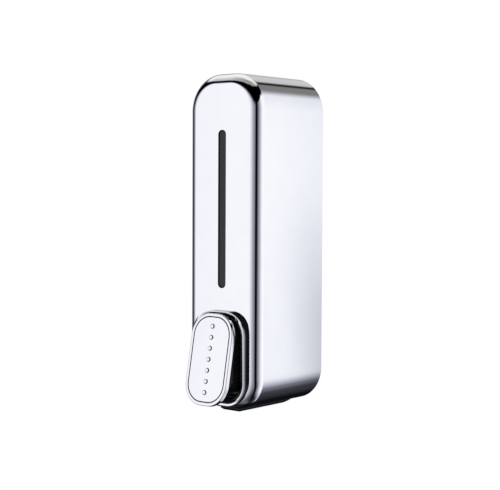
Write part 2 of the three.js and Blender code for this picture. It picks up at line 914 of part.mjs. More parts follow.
function pumpBody() {
  const front = pumpFrontY - valveY;
  const boreEnd = boreEndY - valveY;
  const barrel = turnedY(diskProfile(bodyRadius, front, boreEnd + pumpWall));
  const boss = turnedY(diskProfile(bossRadius, boreEnd, portReach + pumpWall));
  const flange = alongZ(outline(flangeWidth, 2 * flangeSetback, flangeCorner), stemTop - flangeThickness,
    stemTop);
  const collar = turnedZ(diskProfile(socketRadius + socketWall, socketFloor - seatThickness, stemTop));
  const inlet = turnedZ(diskProfile(towerRadius, 0, socketFloor));
  const outlet = turnedZ(diskProfile(towerRadius, spoutFloorZ + fit - pumpZ, 0));
  let body = barrel.add(boss).add(flange).add(collar).add(inlet).add(outlet);
  body = body.subtract(turnedY(diskProfile(boreRadius, front - overrun, boreEnd)));
  body = body.subtract(turnedY(diskProfile(portRadius, boreEnd - overrun, portReach), smallTurnSteps));
  const bores = [
    [socketRadius, socketFloor, stemTop + overrun],
    [seatRadius, socketFloor - seatThickness - overrun, socketFloor + overrun],
    [chamberRadius, portRadius + seatThickness, socketFloor - seatThickness],
    [strainerRadius, 0, portRadius + seatThickness + overrun],
    [seatRadius, -portRadius - seatThickness - overrun, 0],
    [chamberRadius, spoutFloorZ - overrun - pumpZ, -portRadius - seatThickness],
  ];
  bores.forEach(([radius, low, high]) => {
    body = body.subtract(turnedZ(diskProfile(radius, low, high), smallTurnSteps));
  });
  for (const side of [-1, 1]) {
    const hole = turnedZ(diskProfile(screwShank + fit, stemTop - flangeThickness - overrun,
      stemTop + overrun), smallTurnSteps);
    body = body.subtract(hole.translate([side * pumpScrewX, 0, 0]));
  }
  return piece('pump_body', body, 'white');
}

function pumpGland() {
  const front = glandFrontY - valveY;
  const inner = bodyRadius + fit;
  const outer = inner + glandWall;
  return piece('pump_gland', turnedY([
    [rodRadius + fit, front],
    [outer - capEdge, front],
    [outer, front + capEdge],
    [outer, front + glandThickness + glandLap],
    [inner, front + glandThickness + glandLap],
    [inner, front + glandThickness],
    [rodRadius + fit, front + glandThickness],
    [rodRadius + fit, front],
  ]), 'black');
}

function plungerRod() {
  const front = headFrontY - valveY;
  const end = pistonFrontY + pistonBlind - fit - valveY;
  return piece('plunger_rod', turnedY([
    [0, front],
    [headRadius - capEdge, front],
    [headRadius, front + capEdge],
    [headRadius, front + headThickness],
    [rodRadius, front + headThickness],
    [rodRadius, end],
    [0, end],
  ]), 'white');
}

function piston() {
  const front = pistonFrontY - valveY;
  const back = pistonBackY - valveY;
  const middle = (front + back) / 2;
  const outer = boreRadius - fit;
  const groove = ringWidth / 2 + fit;
  return piece('piston', turnedY([
    [rodRadius + fit, front],
    [outer, front],
    [outer, middle - groove],
    [outer - ringDepth, middle - groove],
    [outer - ringDepth, middle + groove],
    [outer, middle + groove],
    [outer, back],
    [0, back],
    [0, front + pistonBlind],
    [rodRadius + fit, front + pistonBlind],
    [rodRadius + fit, front],
  ]), 'white');
}

function pistonSeal() {
  const middle = (pistonFrontY + pistonBackY) / 2 - valveY;
  return piece('piston_seal', turnedY(ringProfile(
    boreRadius - ringDepth,
    boreRadius - fit / 2,
    middle - ringWidth / 2,
    middle + ringWidth / 2,
  )), 'rubber');
}

function returnSpring() {
  const coil = spring('return_spring', returnRadius, returnWire, 0, boreEndY - pistonBackY - 2 * fit);
  return piece('return_spring', coil.rotate([90, 0, 0]).translate([0, boreEndY - fit - valveY, 0]), 'steel');
}

function tankSeal() {
  return piece('tank_seal', turnedZ(ringProfile(
    spigotRadius + fit,
    socketRadius - fit,
    socketFloor + fit,
    socketFloor + fit + sealThickness,
  )), 'rubber');
}

function valve(kind, seatZ, springFoot) {
  const sphere = piece(`${kind}_ball`, ball(ballRadius), 'steel');
  sphere.position.z = seatZ - seatedDepth;
  const springTop = sphere.position.z - ballRadius - fit;
  const coil = piece(
    `${kind}_spring`,
    spring(`${kind}_spring`, valveRadius, valveWire, springFoot, springTop),
    'steel',
  );
  return [sphere, coil];
}

function pumpScrew(name, side) {
  const made = piece(name, screw(flangeThickness + fit + plateThickness), 'steel');
  made.position.set(side * pumpScrewX, 0, stemTop - flangeThickness - fit);
  return made;
}

// Spout, in the dispenser's own frame

function spout() {
  const back = plateFrontY - fit;
  const front = frontY + spoutSetback;
  const side = polygon(
    [back, spoutTopZ],
    [back, bottomZ],
    [back - spoutSlope, spoutBottomZ],
    [front + spoutNose, spoutBottomZ],
    [front + spoutNose / 2, bottomZ - spoutDrop / 2],
    [front, bottomZ + spoutDrop],
    [front, spoutTopZ],
  );
  const length = alongX(side, -spoutWidth, spoutWidth);
  const sectionHeight = spoutTopZ - spoutBottomZ;
  const section = alongY(outline(spoutWidth, sectionHeight, weld, spoutCorner), 0, frontY)
    .translate([0, 0, (spoutTopZ + spoutBottomZ) / 2]);
  let made = length.intersect(section);
  const channelZ = spoutBottomZ + channelFloor + channelRadius;
  const nozzleY = frontY + nozzleSetback;
  const drillings = [
    [towerRadius + fit, spoutFloorZ, spoutTopZ + overrun, valveY],
    [channelRadius - fit, channelZ, spoutFloorZ + overrun, valveY],
    [nozzleRadius, spoutBottomZ - overrun, channelZ, nozzleY],
  ];
  drillings.forEach(([radius, low, high, y]) => {
    made = made.subtract(turnedZ(diskProfile(radius, low, high), smallTurnSteps).translate([0, y, 0]));
  });
  const channel = turnedY(diskProfile(channelRadius, nozzleY, valveY + channelRadius), smallTurnSteps);
  made = made.subtract(channel.translate([0, 0, channelZ]));
  for (const sideX of [-1, 1]) {
    const pilot = turnedY(diskProfile(screwShank + fit, back - spoutScrewLength, back + overrun),
      smallTurnSteps);
    made = made.subtract(pilot.translate([sideX * spoutScrewX, 0, spoutScrewZ]));
  }
  return piece('spout', made, 'black');
}

function nozzleTip() {
  const made = piece('nozzle_tip', turnedZ([
    [tipHole, 0],
    [nozzleRadius - fit, 0],
    [nozzleRadius - fit, tipLength],
    [tipHole + weld, tipLength],
    [tipHole, 0],
  ], smallTurnSteps), 'rubber');
  made.position.set(0, frontY + nozzleSetback, spoutBottomZ);
  return made;
}

function spoutScrew(name, side) {
  const made = piece(name, screw(plateThickness + spoutScrewLength - fit), 'steel');
  made.rotation.x = Math.PI / 2;
  made.position.set(side * spoutScrewX, plateBackY + fit, spoutScrewZ);
  return made;
}

// Assembly

const coverGroup = new THREE.Group();
coverGroup.position.y = frontY;
coverGroup.add(frontCover(), buttonCollar());

const windowGroup = new THREE.Group();
windowGroup.position.set(0, coverWall + fit, (slotTopZ + slotBottomZ) / 2);
windowGroup.add(windowLens(), windowRetainer());
coverGroup.add(windowGroup);

const buttonGroup = new THREE.Group();
buttonGroup.position.set(0, pivotDepth, pivotZ);
buttonGroup.rotation.x = -tilt;
buttonGroup.add(buttonCap(), buttonPlate(), buttonNeck(), buttonPad(), pivotPin());
coverGroup.add(buttonGroup);

const fillerGroup = new THREE.Group();
fillerGroup.position.set(0, (tankFrontY - tankBackY) / 2, tankTopZ - tankBottomZ + neckRise);
fillerGroup.add(fillerGasket(), fillerCap());

const tankGroup = new THREE.Group();
tankGroup.position.set(0, tankBackY, tankBottomZ);
tankGroup.add(soapTank(), fillerGroup);

const pumpGroup = new THREE.Group();
pumpGroup.position.set(0, valveY, pumpZ);
pumpGroup.add(pumpBody(), pumpGland(), plungerRod(), piston(), pistonSeal(), returnSpring(), tankSeal());
pumpGroup.add(...valve('inlet', inletSeatZ, portRadius + seatThickness + fit));
pumpGroup.add(...valve('outlet', outletSeatZ, spoutFloorZ + fit - pumpZ));
pumpGroup.add(pumpScrew('pump_screw_left', -1), pumpScrew('pump_screw_right', 1));

const unitGroup = new THREE.Group();
unitGroup.add(chassis(), tankGroup, pumpGroup, spout(), nozzleTip());
unitGroup.add(spoutScrew('spout_screw_left', -1), spoutScrew('spout_screw_right', 1));
unitGroup.add(coverCatch('cover_catch_left', -1), coverCatch('cover_catch_right', 1));
unitGroup.add(coverGroup);

const group = new THREE.Group();
group.add(wallBracket(), unitGroup);

export default group;
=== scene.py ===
"""A wall-mounted soap dispenser: chromed cover, tilting push button, tank and pump.

Lengths are in metres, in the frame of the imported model: the wall is the plane Y = 0,
the front faces -Y and Z is up.
"""

import json
import math

import bmesh
import bpy
from bpy.props import FloatProperty, FloatVectorProperty, IntProperty, PointerProperty
from mathutils import Matrix, Vector


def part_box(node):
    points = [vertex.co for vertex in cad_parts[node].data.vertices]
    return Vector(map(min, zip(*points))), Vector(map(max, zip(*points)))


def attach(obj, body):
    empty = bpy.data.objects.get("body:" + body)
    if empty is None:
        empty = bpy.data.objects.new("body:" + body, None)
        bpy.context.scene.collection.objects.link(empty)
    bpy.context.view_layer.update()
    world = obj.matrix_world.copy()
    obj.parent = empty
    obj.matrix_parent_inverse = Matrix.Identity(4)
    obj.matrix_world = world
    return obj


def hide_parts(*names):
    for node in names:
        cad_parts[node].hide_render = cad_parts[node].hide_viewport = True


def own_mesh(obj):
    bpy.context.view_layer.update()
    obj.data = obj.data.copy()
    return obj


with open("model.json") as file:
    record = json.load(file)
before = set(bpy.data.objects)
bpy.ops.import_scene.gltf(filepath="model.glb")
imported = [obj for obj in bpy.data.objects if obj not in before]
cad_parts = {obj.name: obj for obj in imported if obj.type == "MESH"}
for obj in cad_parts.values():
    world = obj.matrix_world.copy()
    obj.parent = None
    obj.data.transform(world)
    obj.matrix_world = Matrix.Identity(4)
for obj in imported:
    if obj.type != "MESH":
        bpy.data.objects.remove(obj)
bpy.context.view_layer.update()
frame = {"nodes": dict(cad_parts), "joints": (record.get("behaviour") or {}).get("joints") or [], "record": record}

bl_info = {
    "name": "Soap dispenser",
    "version": (1, 0, 0),
    "blender": (4, 5, 0),
    "location": "3D View > Sidebar > Dispenser",
    "description": "Builds the pieces of a chromed soap dispenser and its studio",
    "category": "Add Mesh",
}

MM = 0.001
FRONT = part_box("front_cover")[0].y
WHITE = (1.0, 1.0, 1.0, 1.0)
SHARP_ANGLE = 32.0  # edges that turn by more degrees than this stay sharp
# How far past the ends of an arc its extra points lie, which keep the flats beside it flat
LEAN, FINE_LEAN = 0.06 * MM, 0.04 * MM


# Sizes and colours that a user may change


def metres(name, description, value):
    """A setting that is a length."""
    return FloatProperty(name=name, description=description, default=value, unit="LENGTH")


def degrees(name, description, value):
    """A setting that is an angle."""
    return FloatProperty(
        name=name, description=description, default=math.radians(value), subtype="ANGLE"
    )


def tint(name, description, value):
    """A setting that is a colour."""
    return FloatVectorProperty(name=name, description=description, default=value, subtype="COLOR")


class DispenserShape(bpy.types.PropertyGroup):
    """Sizes of the dispenser's pieces."""

    width: metres("Width", "Width of the cover", 0.058)
    height: metres("Height", "Height of the cover", 0.21)
    corner: metres("Corner", "Radius of the cover's upper corners", 0.023)
    foot_corner: metres("Lower corner", "Radius of the cover's lower corners", 0.0218)
    front_round: metres("Front edge", "Radius of the cover's front edge", 0.007)
    wall: metres("Wall", "Thickness of the cover", 0.0022)
    slot_width: metres("Slot width", "Width of the level window", 0.0059)
    slot_corner: metres("Slot corner", "Radius of the slot's corners", 0.0026)
    slot_drop: metres("Slot drop", "From the cover's top to the slot", 0.0354)
    slot_rise: metres("Slot rise", "From the cover's foot to the slot", 0.0763)
    collar_width: metres("Collar width", "Width of the collar", 0.0434)
    collar_height: metres("Collar height", "Height of the collar", 0.0588)
    collar_corner: metres("Collar corner", "Radius of the collar's corners", 0.015)
    collar_rise: metres("Collar rise", "From the cover's foot to the collar", 0.003)
    collar_proud: metres("Collar depth", "How far the collar stands off the front", 0.0034)
    collar_rim: metres("Collar rim", "Width of the collar's rim", 0.0035)
    collar_reach: metres("Collar reach", "Depth of the collar's tube behind the front", 0.008)
    cap_width: metres("Cap width", "Width of the button's cap", 0.0336)
    cap_height: metres("Cap height", "Height of the button's cap", 0.0576)
    cap_corner: metres("Cap corner", "Radius of the cap's corners", 0.014)
    cap_thickness: metres("Cap thickness", "Thickness of the cap", 0.0032)
    cap_edge: metres("Cap edge", "Rounding of the cap's edges", 0.0005)
    cap_border: metres("Cap border", "From the cap's edge to the groove line", 0.002)
    groove: metres("Groove", "Width of the groove line", 0.0006)
    plate_depth: metres("Plate thickness", "Thickness of the inlaid plate", 0.0016)
    dots: IntProperty(name="Dots", description="Number of raised dots", default=7, min=0, max=12)
    dot_pitch: metres("Dot pitch", "Spacing of the dots", 0.00688)
    dot_radius: metres("Dot radius", "Radius of a dot", 0.0015)
    dot_height: metres("Dot height", "Height of a dot", 0.0005)
    tilt: degrees("Tilt", "How far the button's foot stands out", 10.5)
    pivot_depth: metres("Pivot depth", "From the front face back to the pivot", 0.005)
    pivot_drop: metres("Pivot drop", "From the collar's top down to the pivot", 0.0088)
    cap_rise: metres("Cap rise", "From the pivot up to the cap's top", 0.0055)
    clearance: metres("Clearance", "Between the cap and the collar's rim", 0.0003)


class DispenserFinish(bpy.types.PropertyGroup):
    """Colours and gloss of the dispenser's materials."""

    chrome: tint("Chrome", "Colour of the chrome plate", (0.93, 0.93, 0.945))
    chrome_roughness: FloatProperty(
        name="Chrome roughness", description="Roughness of the chrome plate",
        default=0.008, subtype="FACTOR"
    )
    lens: tint("Lens", "Colour of the smoked window", (0.006, 0.006, 0.0065))
    black: tint("Black plastic", "Colour of the black mouldings", (0.006, 0.006, 0.007))
    white: tint("White plastic", "Colour of the white mouldings", (0.70, 0.70, 0.68))
    tank: tint("Tank", "Colour of the translucent tank", (0.80, 0.85, 0.83))
    rubber: tint("Rubber", "Colour of the rubber pieces", (0.02, 0.02, 0.021))
    steel: tint("Steel", "Colour of the stainless steel", (0.62, 0.63, 0.65))


class DispenserStudio(bpy.types.PropertyGroup):
    """The camera, the lamp, the floor and the surroundings."""

    eye: FloatVectorProperty(
        name="Camera", description="Where the camera stands",
        default=(0.516, -0.6525, 0.036), subtype="TRANSLATION"
    )
    turn: degrees("Turn", "How far the camera looks to the left", 40.07)
    dip: degrees("Dip", "How far the camera looks down", 2.775)
    roll: degrees("Roll", "Roll of the camera", 0.25)
    lens: FloatProperty(
        name="Lens", description="Focal length on a 36 mm sensor",
        default=90.0, min=1.0
    )
    floor: metres("Floor", "Height of the floor", -0.42)
    mirror: FloatProperty(
        name="Mirror", description="Strength of the surroundings in the chrome",
        default=1.06, min=0.0
    )
    ambient: FloatProperty(
        name="Ambient", description="Strength of the light from all round",
        default=0.8, min=0.0
    )
    key: FloatProperty(name="Key", description="Power of the large lamp", default=9.0, min=0.0)


# Shader maths


class Wire:
    """A shader socket that takes part in arithmetic."""

    def __init__(self, graph, socket):
        self.graph = graph
        self.socket = socket

    def maths(self, operation, *others):
        """A maths node with this socket first."""
        return self.graph.add("Math", {"operation": operation}, dict(enumerate((self, *others))))

    def __add__(self, other):
        return self.maths("ADD", other)

    def __mul__(self, other):
        return self.maths("MULTIPLY", other)

    __radd__, __rmul__ = __add__, __mul__

    def __sub__(self, other):
        return self.maths("SUBTRACT", other)

    def __rsub__(self, other):
        return self.graph.add("Math", {"operation": "SUBTRACT"}, {0: other, 1: self})

    def __truediv__(self, other):
        return self.maths("DIVIDE", other)

    def __neg__(self):
        return self.maths("MULTIPLY", -1.0)


class Graph:
    """The nodes of one material or world."""

    def __init__(self, owner):
        owner.use_nodes = True
        self.tree = owner.node_tree
        self.tree.nodes.clear()

    def add(self, kind, settings=None, sockets=None, output=0):
        """A new shader node with its settings and sockets. It returns one of its outputs."""
        node = self.tree.nodes.new("ShaderNode" + kind)
        for name, value in (settings or {}).items():
            if name == "stops":
                fill_ramp(node.color_ramp, value)
            else:
                setattr(node, name, value)
        for name, value in (sockets or {}).items():
            if isinstance(value, Wire):
                self.tree.links.new(value.socket, node.inputs[name])
            else:
                node.inputs[name].default_value = value
        return Wire(self, node.outputs[output]) if node.outputs else None

    def mix(self, share, first, second):
        """Two colours mixed."""
        return self.add("Mix", {"data_type": "RGBA"}, {0: share, 6: first, 7: second}, output=2)

    def step(self, value, low, high):
        """A smooth step from 0 at low to 1 at high."""
        return self.add(
            "MapRange",
            {"interpolation_type": "SMOOTHSTEP"},
            {"Value": value, "From Min": low, "From Max": high},
        )

    def blend(self, share, first, second):
        """Two values mixed."""
        return first + (second - first) * share

    def chart(self, angle, table, full=1.0):
        """The value that a table gives for an angle in degrees from -180 to 180."""
        stops = [((place + 180) / 360, value / full) for place, value in table]
        shade = self.add("ValToRGB", {"stops": stops}, {"Fac": angle / 360 + 0.5})
        return shade * full

    def noise(self, place, scale, detail=2.0, roughness=0.5):
        """A noise pattern with so many cycles a metre."""
        return self.add(
            "TexNoise",
            None,
            {"Vector": place, "Scale": scale, "Detail": detail, "Roughness": roughness},
        )

    def place(self, stretch=(1.0, 1.0, 1.0)):
        """A point of the piece, in metres, stretched along each axis."""
        point = self.add("TexCoord", output="Object")
        return self.add("VectorMath", {"operation": "MULTIPLY"}, {0: point, 1: stretch})

    def bump(self, height):
        """A normal from a height in metres."""
        return self.add("Bump", None, {"Strength": 1.0, "Distance": 1.0, "Height": height})

    def mottle(self, pattern, low, high, colour, share):
        """A colour that turns to a share of itself where a pattern runs from low to high."""
        other = rgba([part * share for part in colour])
        return self.mix(self.step(pattern, low, high), rgba(colour), other)

    def glow(self, kind, colour, strength):
        """A background or an emission."""
        return self.add(kind, None, {"Color": colour, "Strength": strength})

    def join(self, share, first, second):
        """Two shaders mixed."""
        return self.add("MixShader", None, {0: share, 1: first, 2: second})


def fill_ramp(ramp, stops):
    """Sets a ramp's stops: pairs of a place and a grey, or of a place and a colour."""
    while len(ramp.elements) < len(stops):
        ramp.elements.new(1.0)
    for element, (place, shade) in zip(ramp.elements, stops):
        element.position = place
        element.color = (*shade, 1.0) if isinstance(shade, tuple) else (shade, shade, shade, 1.0)


def surface(name):
    """A new material and its empty graph."""
    material = bpy.data.materials.new(name)
    graph = Graph(material)
    return material, graph


def close_surface(graph, sockets):
    """Ends a material's graph with its shader."""
    shader = graph.add("BsdfPrincipled", None, sockets)
    graph.add("OutputMaterial", None, {"Surface": shader})


def rgba(colour):
    """A colour with full opacity."""
    return (*colour, 1.0)


def chrome_finish(finish):
    """Bright plate with a trace of haze, turned to glossy black where faces are marked for painted shade."""
    wave_height, fine_height, shade_grain_height = 0.000015, 0.0000001, 0.0000008
    shade_share, shade_roughness, haze_roughness = 1.8, 0.08, 0.01
    material, graph = surface("chrome_plate")
    point = graph.place()
    haze = graph.noise(point, scale=90.0, detail=3.0)
    grain = graph.noise(point, scale=1500.0)
    wave = graph.noise(point, scale=28.0, detail=1.0)
    swirl = graph.noise(graph.place((1.0, 1.0, 0.35)), scale=420.0, detail=4.0, roughness=0.6)
    # The painted-shade mask: marked faces turn from chrome to glossy black, painted shade in recesses and between
    # parts
    shade_mask = graph.add("Attribute", {"attribute_name": "bare"}, output="Fac")
    height = wave * wave_height + grain * fine_height + swirl * fine_height
    height = height + shade_mask * grain * shade_grain_height
    plate = graph.mottle(haze, 0.35, 0.75, finish.chrome, share=0.98)
    # The colour of the painted shade: a little lighter than the black plastic
    under = rgba([part * shade_share for part in finish.black])
    mirror = finish.chrome_roughness + graph.step(haze, 0.3, 0.8) * haze_roughness
    close_surface(graph, {
        "Base Color": graph.mix(shade_mask, plate, under),
        "Metallic": 1.0 - shade_mask,
        "Specular IOR Level": 0.2,
        "Roughness": mirror + shade_mask * shade_roughness,
        "Normal": graph.bump(height),
    })
    return material


def gloss_finish(name, colour, roughness, index):
    """Glossy moulded plastic with an orange-peel skin and fine wipe marks."""
    peel_height, mark_height = 0.000003, 0.0000012
    material, graph = surface(name)
    point = graph.place()
    peel = graph.noise(point, scale=900.0)
    marks = graph.noise(graph.place((1.0, 1.0, 0.12)), scale=2600.0, detail=3.0)
    cloud = graph.noise(point, scale=160.0)
    close_surface(graph, {
        "Base Color": graph.mottle(cloud, 0.3, 0.8, colour, share=1.5),
        "Roughness": roughness + graph.step(marks, 0.4, 0.8) * 0.05,
        "Normal": graph.bump(peel * peel_height + marks * mark_height),
        "IOR": index,
    })
    return material


def moulded_finish(name, colour, roughness, depth):
    """Plain moulded plastic with a fine spark-eroded grain and slight flow marks."""
    material, graph = surface(name)
    flow = graph.noise(graph.place((1.0, 1.0, 0.4)), scale=45.0, detail=3.0)
    grain = graph.noise(graph.place(), scale=3200.0, detail=3.0, roughness=0.7)
    close_surface(graph, {
        "Base Color": graph.mottle(flow, 0.3, 0.75, colour, share=0.9),
        "Roughness": roughness + (grain - 0.5) * 0.15,
        "Normal": graph.bump(grain * depth),
    })
    return material


def tank_finish(finish):
    """Translucent blow-moulded plastic, a little uneven in thickness."""
    flow_height, skin_height = 0.00008, 0.000004
    material, graph = surface("tank_plastic")
    flow = graph.noise(graph.place((1.0, 1.0, 0.25)), scale=60.0, detail=3.0)
    skin = graph.noise(graph.place(), scale=1100.0)
    close_surface(graph, {
        "Base Color": graph.mottle(flow, 0.3, 0.75, finish.tank, share=0.93),
        "Roughness": 0.28 + graph.step(skin, 0.3, 0.8) * 0.1,
        "Transmission Weight": 0.55,
        "IOR": 1.5,
        "Normal": graph.bump(flow * flow_height + skin * skin_height),
    })
    return material


def steel_finish(finish):
    """Stainless steel with a fine upright grain."""
    line_height = 0.0000025
    material, graph = surface("satin_steel")
    stretched = graph.place((1.0, 1.0, 0.02))
    lines = graph.noise(stretched, scale=9000.0, detail=3.0, roughness=0.7)
    cloud = graph.noise(graph.place(), scale=120.0)
    close_surface(graph, {
        "Base Color": graph.mottle(lines, 0.3, 0.7, finish.steel, share=0.82),
        "Metallic": 1.0,
        "Roughness": 0.22 + graph.step(cloud, 0.3, 0.8) * 0.12,
        "Normal": graph.bump(lines * line_height),
    })
    return material


def finish_of(slot):
    """The material of one of the record's slots, made when it is first asked for."""
    name = "finish_" + slot
    if name not in bpy.data.materials:
        finish = bpy.context.scene.dispenser_finish
        makers = {
            "chrome": lambda: chrome_finish(finish),
            "smoked_plastic": lambda: gloss_finish("lens", finish.lens, 0.06, 1.42),
            "black_plastic": lambda: gloss_finish("black", finish.black, 0.16, 1.46),
            "white_plastic": lambda: moulded_finish("white", finish.white, 0.42, 0.000004),
            "clear_plastic": lambda: tank_finish(finish),
            "black_rubber": lambda: moulded_finish("rubber", finish.rubber, 0.75, 0.00001),
            "steel": lambda: steel_finish(finish),
        }
        material = makers[slot]()
        material.name = name
    return bpy.data.materials[name]


# Shapes


def rounded_rectangle(width, height, upper, lower, steps, lean=0.15 * MM):
    """Points of a rounded rectangle, with one more point just past each end of each arc."""
    points = []
    sides = ((1, 1, upper), (-1, 1, upper), (-1, -1, lower), (1, -1, lower))
    for quarter, (side_x, side_z, corner) in enumerate(sides):
        middle = Vector((side_x * (width / 2 - corner), side_z * (height / 2 - corner)))
        arc = []
        for step in range(steps + 1):
            angle = (quarter + step / steps) * math.pi / 2
            arc.append(Vector((math.cos(angle), math.sin(angle))))
        first, last = arc[0], arc[-1]
        points.append(middle + corner * first - lean * Vector((-first.y, first.x)))
        points.extend(middle + corner * spoke for spoke in arc)
        points.append(middle + corner * last + lean * Vector((-last.y, last.x)))
    return points


def filleted(corners, steps=4, lean=FINE_LEAN):
    """A line through the corners (across, along, radius), each rounded by its radius."""
    line = []
    for index, (across, along, radius) in enumerate(corners):
        here = Vector((across, along))
        if radius == 0 or index in (0, len(corners) - 1):
            line.append(here)
            continue
        back = Vector(corners[index - 1][:2]) - here
        ahead = Vector(corners[index + 1][:2]) - here
        half = back.angle(ahead) / 2
        back.normalize()
        ahead.normalize()
        reach = radius / math.tan(half)
        centre = here + (back + ahead).normalized() * radius / math.sin(half)
        start = here + back * reach - centre
        turn = start.angle_signed(here + ahead * reach - centre)
        line.append(here + back * (reach + lean))
        for step in range(steps + 1):
            line.append(centre + Matrix.Rotation(-turn * step / steps, 2) @ start)
        line.append(here + ahead * (reach + lean))
    return line


def ring_points(size, inset, along, middle, steps):
    """A rounded rectangle at a depth Y, drawn in by inset. Its lower corners may differ."""
    width, height, *corners = size
    least = 0.05 * MM
    upper, lower = (max(corner - inset, least) for corner in (corners[0], corners[-1]))
    points = rounded_rectangle(width - 2 * inset, height - 2 * inset, upper, lower, steps)
    return [Vector((middle[0] + point.x, along, middle[1] + point.y)) for point in points]


def turned_points(radius, along, centre, axis, segments):
    """A circle about an axis through a centre."""
    points = []
    for segment in range(segments):
        angle = segment / segments * 2 * math.pi
        across, up = radius * math.cos(angle), radius * math.sin(angle)
        spot = {"X": (along, across, up), "Y": (across, along, up), "Z": (across, up, along)}[axis]
        points.append(Vector(centre) + Vector(spot))
    return points


def inset_of(point, size, middle):
    """How far a point lies inside a rounded rectangle's outline, up to its corners' radius."""
    width, height, corner = size
    across = abs(point.x) - width / 2 + corner
    up = abs(point.z - middle) - height / 2 + corner
    return corner - math.hypot(max(across, 0.0), max(up, 0.0))


def smooth(value, low, high):
    """A smooth step from 0 at low to 1 at high."""
    share = min(max((value - low) / (high - low), 0.0), 1.0)
    return share * share * (3 - 2 * share)


def ring_skin(mesh, size, line, middle, steps):
    """Faces along a line of (inset, depth) that runs round a rounded rectangle."""
    rings = [ring_points(size, point.x, point.y, middle, steps) for point in line]
    return skin(mesh, rings)


def skin(mesh, rings):
    """Faces between neighbouring rings of points. It returns the rings' vertices."""
    made = [[mesh.verts.new(point) for point in ring] for ring in rings]
    for near, far in zip(made, made[1:]):
        for index, vertex in enumerate(near):
            following = (index + 1) % len(near)
            mesh.faces.new((vertex, near[following], far[following], far[index]))
    return made


def fill(mesh, *loops):
    """A flat face inside the first loop and outside the others."""
    if len(loops) == 1:
        mesh.faces.new(loops[0])
        return
    edges = []
    for loop in loops:
        for index, vertex in enumerate(loop):
            edges.append(mesh.edges.get((vertex, loop[(index + 1) % len(loop)])))
    bmesh.ops.triangle_fill(mesh, use_beauty=True, edges=edges)


def close_ends(mesh, rings):
    """Flat faces over the first and the last ring."""
    fill(mesh, rings[0])
    fill(mesh, rings[-1])


def turned(mesh, profile, centre, axis, segments):
    """A solid of revolution from a line of (radius, along), closed on the axis at both ends."""
    least = 0.01 * MM  # radius of the ring that stands for the axis
    made = skin(mesh, [
        turned_points(max(point.x, least), point.y, centre, axis, segments) for point in profile
    ])
    close_ends(mesh, made)


def object_from(name, mesh, sharp_angle=SHARP_ANGLE):
    """A shaded object from a bmesh, which is freed."""
    bmesh.ops.recalc_face_normals(mesh, faces=mesh.faces)
    data = bpy.data.meshes.new(name)
    mesh.to_mesh(data)
    mesh.free()
    for face in data.polygons:
        face.use_smooth = True
    data.set_sharp_from_angle(angle=math.radians(sharp_angle))
    made = bpy.data.objects.new(name, data)
    bpy.context.scene.collection.objects.link(made)
    return made


def settled(piece):
    """The piece with its modifiers worked into its mesh."""
    bpy.context.view_layer.update()
    graph = bpy.context.evaluated_depsgraph_get()
    data = bpy.data.meshes.new_from_object(piece.evaluated_get(graph))
    piece.modifiers.clear()
    piece.data = data
    return piece


def cut(piece, tool):
    """Takes the tool's shape out of the piece and removes the tool."""
    modifier = piece.modifiers.new("cut", "BOOLEAN")
    modifier.operation = "DIFFERENCE"
    modifier.solver = "EXACT"
    modifier.object = tool
    settled(piece)
    bpy.data.objects.remove(tool)


def block(name, low, high):
    """A plain cutting box."""
    mesh = bmesh.new()
    bmesh.ops.create_cube(mesh, size=1.0)
    middle = (Vector(low) + Vector(high)) / 2
    span = Vector(high) - Vector(low)
    for vertex in mesh.verts:
        vertex.co = middle + vertex.co * span
    return object_from(name, mesh)


def refined(name, node, edge):
    """A finer piece from a CAD node: whole flat faces, rounded edges and smooth shading."""
    same_point, same_plane = 0.002 * MM, math.radians(1.0)
    angle = 40.0  # edges that turn by more degrees than this are rounded
    mesh = bmesh.new()
    mesh.from_mesh(frame["nodes"][node].data)
    bmesh.ops.remove_doubles(mesh, verts=mesh.verts, dist=same_point)
    bmesh.ops.dissolve_limit(mesh, angle_limit=same_plane, verts=mesh.verts, edges=mesh.edges)
    piece = object_from(name, mesh, angle)
    bevel = piece.modifiers.new("edges", "BEVEL")
    bevel.width = edge
    bevel.segments = 3
    bevel.limit_method = "ANGLE"
    bevel.angle_limit = math.radians(angle)
    bevel.use_clamp_overlap = True
    weight = piece.modifiers.new("shading", "WEIGHTED_NORMAL")
    weight.keep_sharp = True
    return settled(piece)


def bare(piece, chosen):
    """Marks the chosen faces of a chromed piece for painted shade: there the chrome turns to glossy black."""
    marks = piece.data.attributes.new("bare", "FLOAT", "FACE")
    for face in piece.data.polygons:
        marks.data[face.index].value = 1.0 if chosen(face) else 0.0
    return piece


def fit(piece, body, slot, *nodes):
    """Gives a piece its finish, its body and the CAD nodes that it stands for."""
    piece.data.materials.clear()
    piece.data.materials.append(finish_of(slot))
    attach(piece, body)
    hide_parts(*nodes)


def slot_of(node):
    """The record's material slot for a node."""
    parts = frame["record"]["subparts"]
    return next(part["material_slot"] for part in parts if part["node"] == node)


def body_of(node):
    """The body that the record puts a node on."""
    bodies = frame["record"]["behaviour"]["bodies"]
    return next(name for name, members in bodies.items() if node in members)


def collar_place(shape):
    """The height of the collar's middle."""
    return -shape.height / 2 + shape.collar_rise + shape.collar_height / 2


def pivot_place(shape):
    """The middle of the button's pivot."""
    top = collar_place(shape) + shape.collar_height / 2
    return Vector((0.0, FRONT + shape.pivot_depth, top - shape.pivot_drop))


def slot_ends(shape):
    """The heights of the slot's foot and top."""
    return -shape.height / 2 + shape.slot_rise, shape.height / 2 - shape.slot_drop


def cap_distance(shape):
    """From the pivot out to the cap's back, whose top edge clears the collar's rim."""
    out = shape.pivot_depth + shape.collar_proud + shape.clearance
    return (out + shape.cap_rise * math.sin(shape.tilt)) / math.cos(shape.tilt)


def tilted(shape, piece):
    """Turns a piece made about the pivot into its place on the tilted button."""
    turn = Matrix.Rotation(-shape.tilt, 4, "X")
    piece.data.transform(Matrix.Translation(pivot_place(shape)) @ turn)
    return piece


# Operators


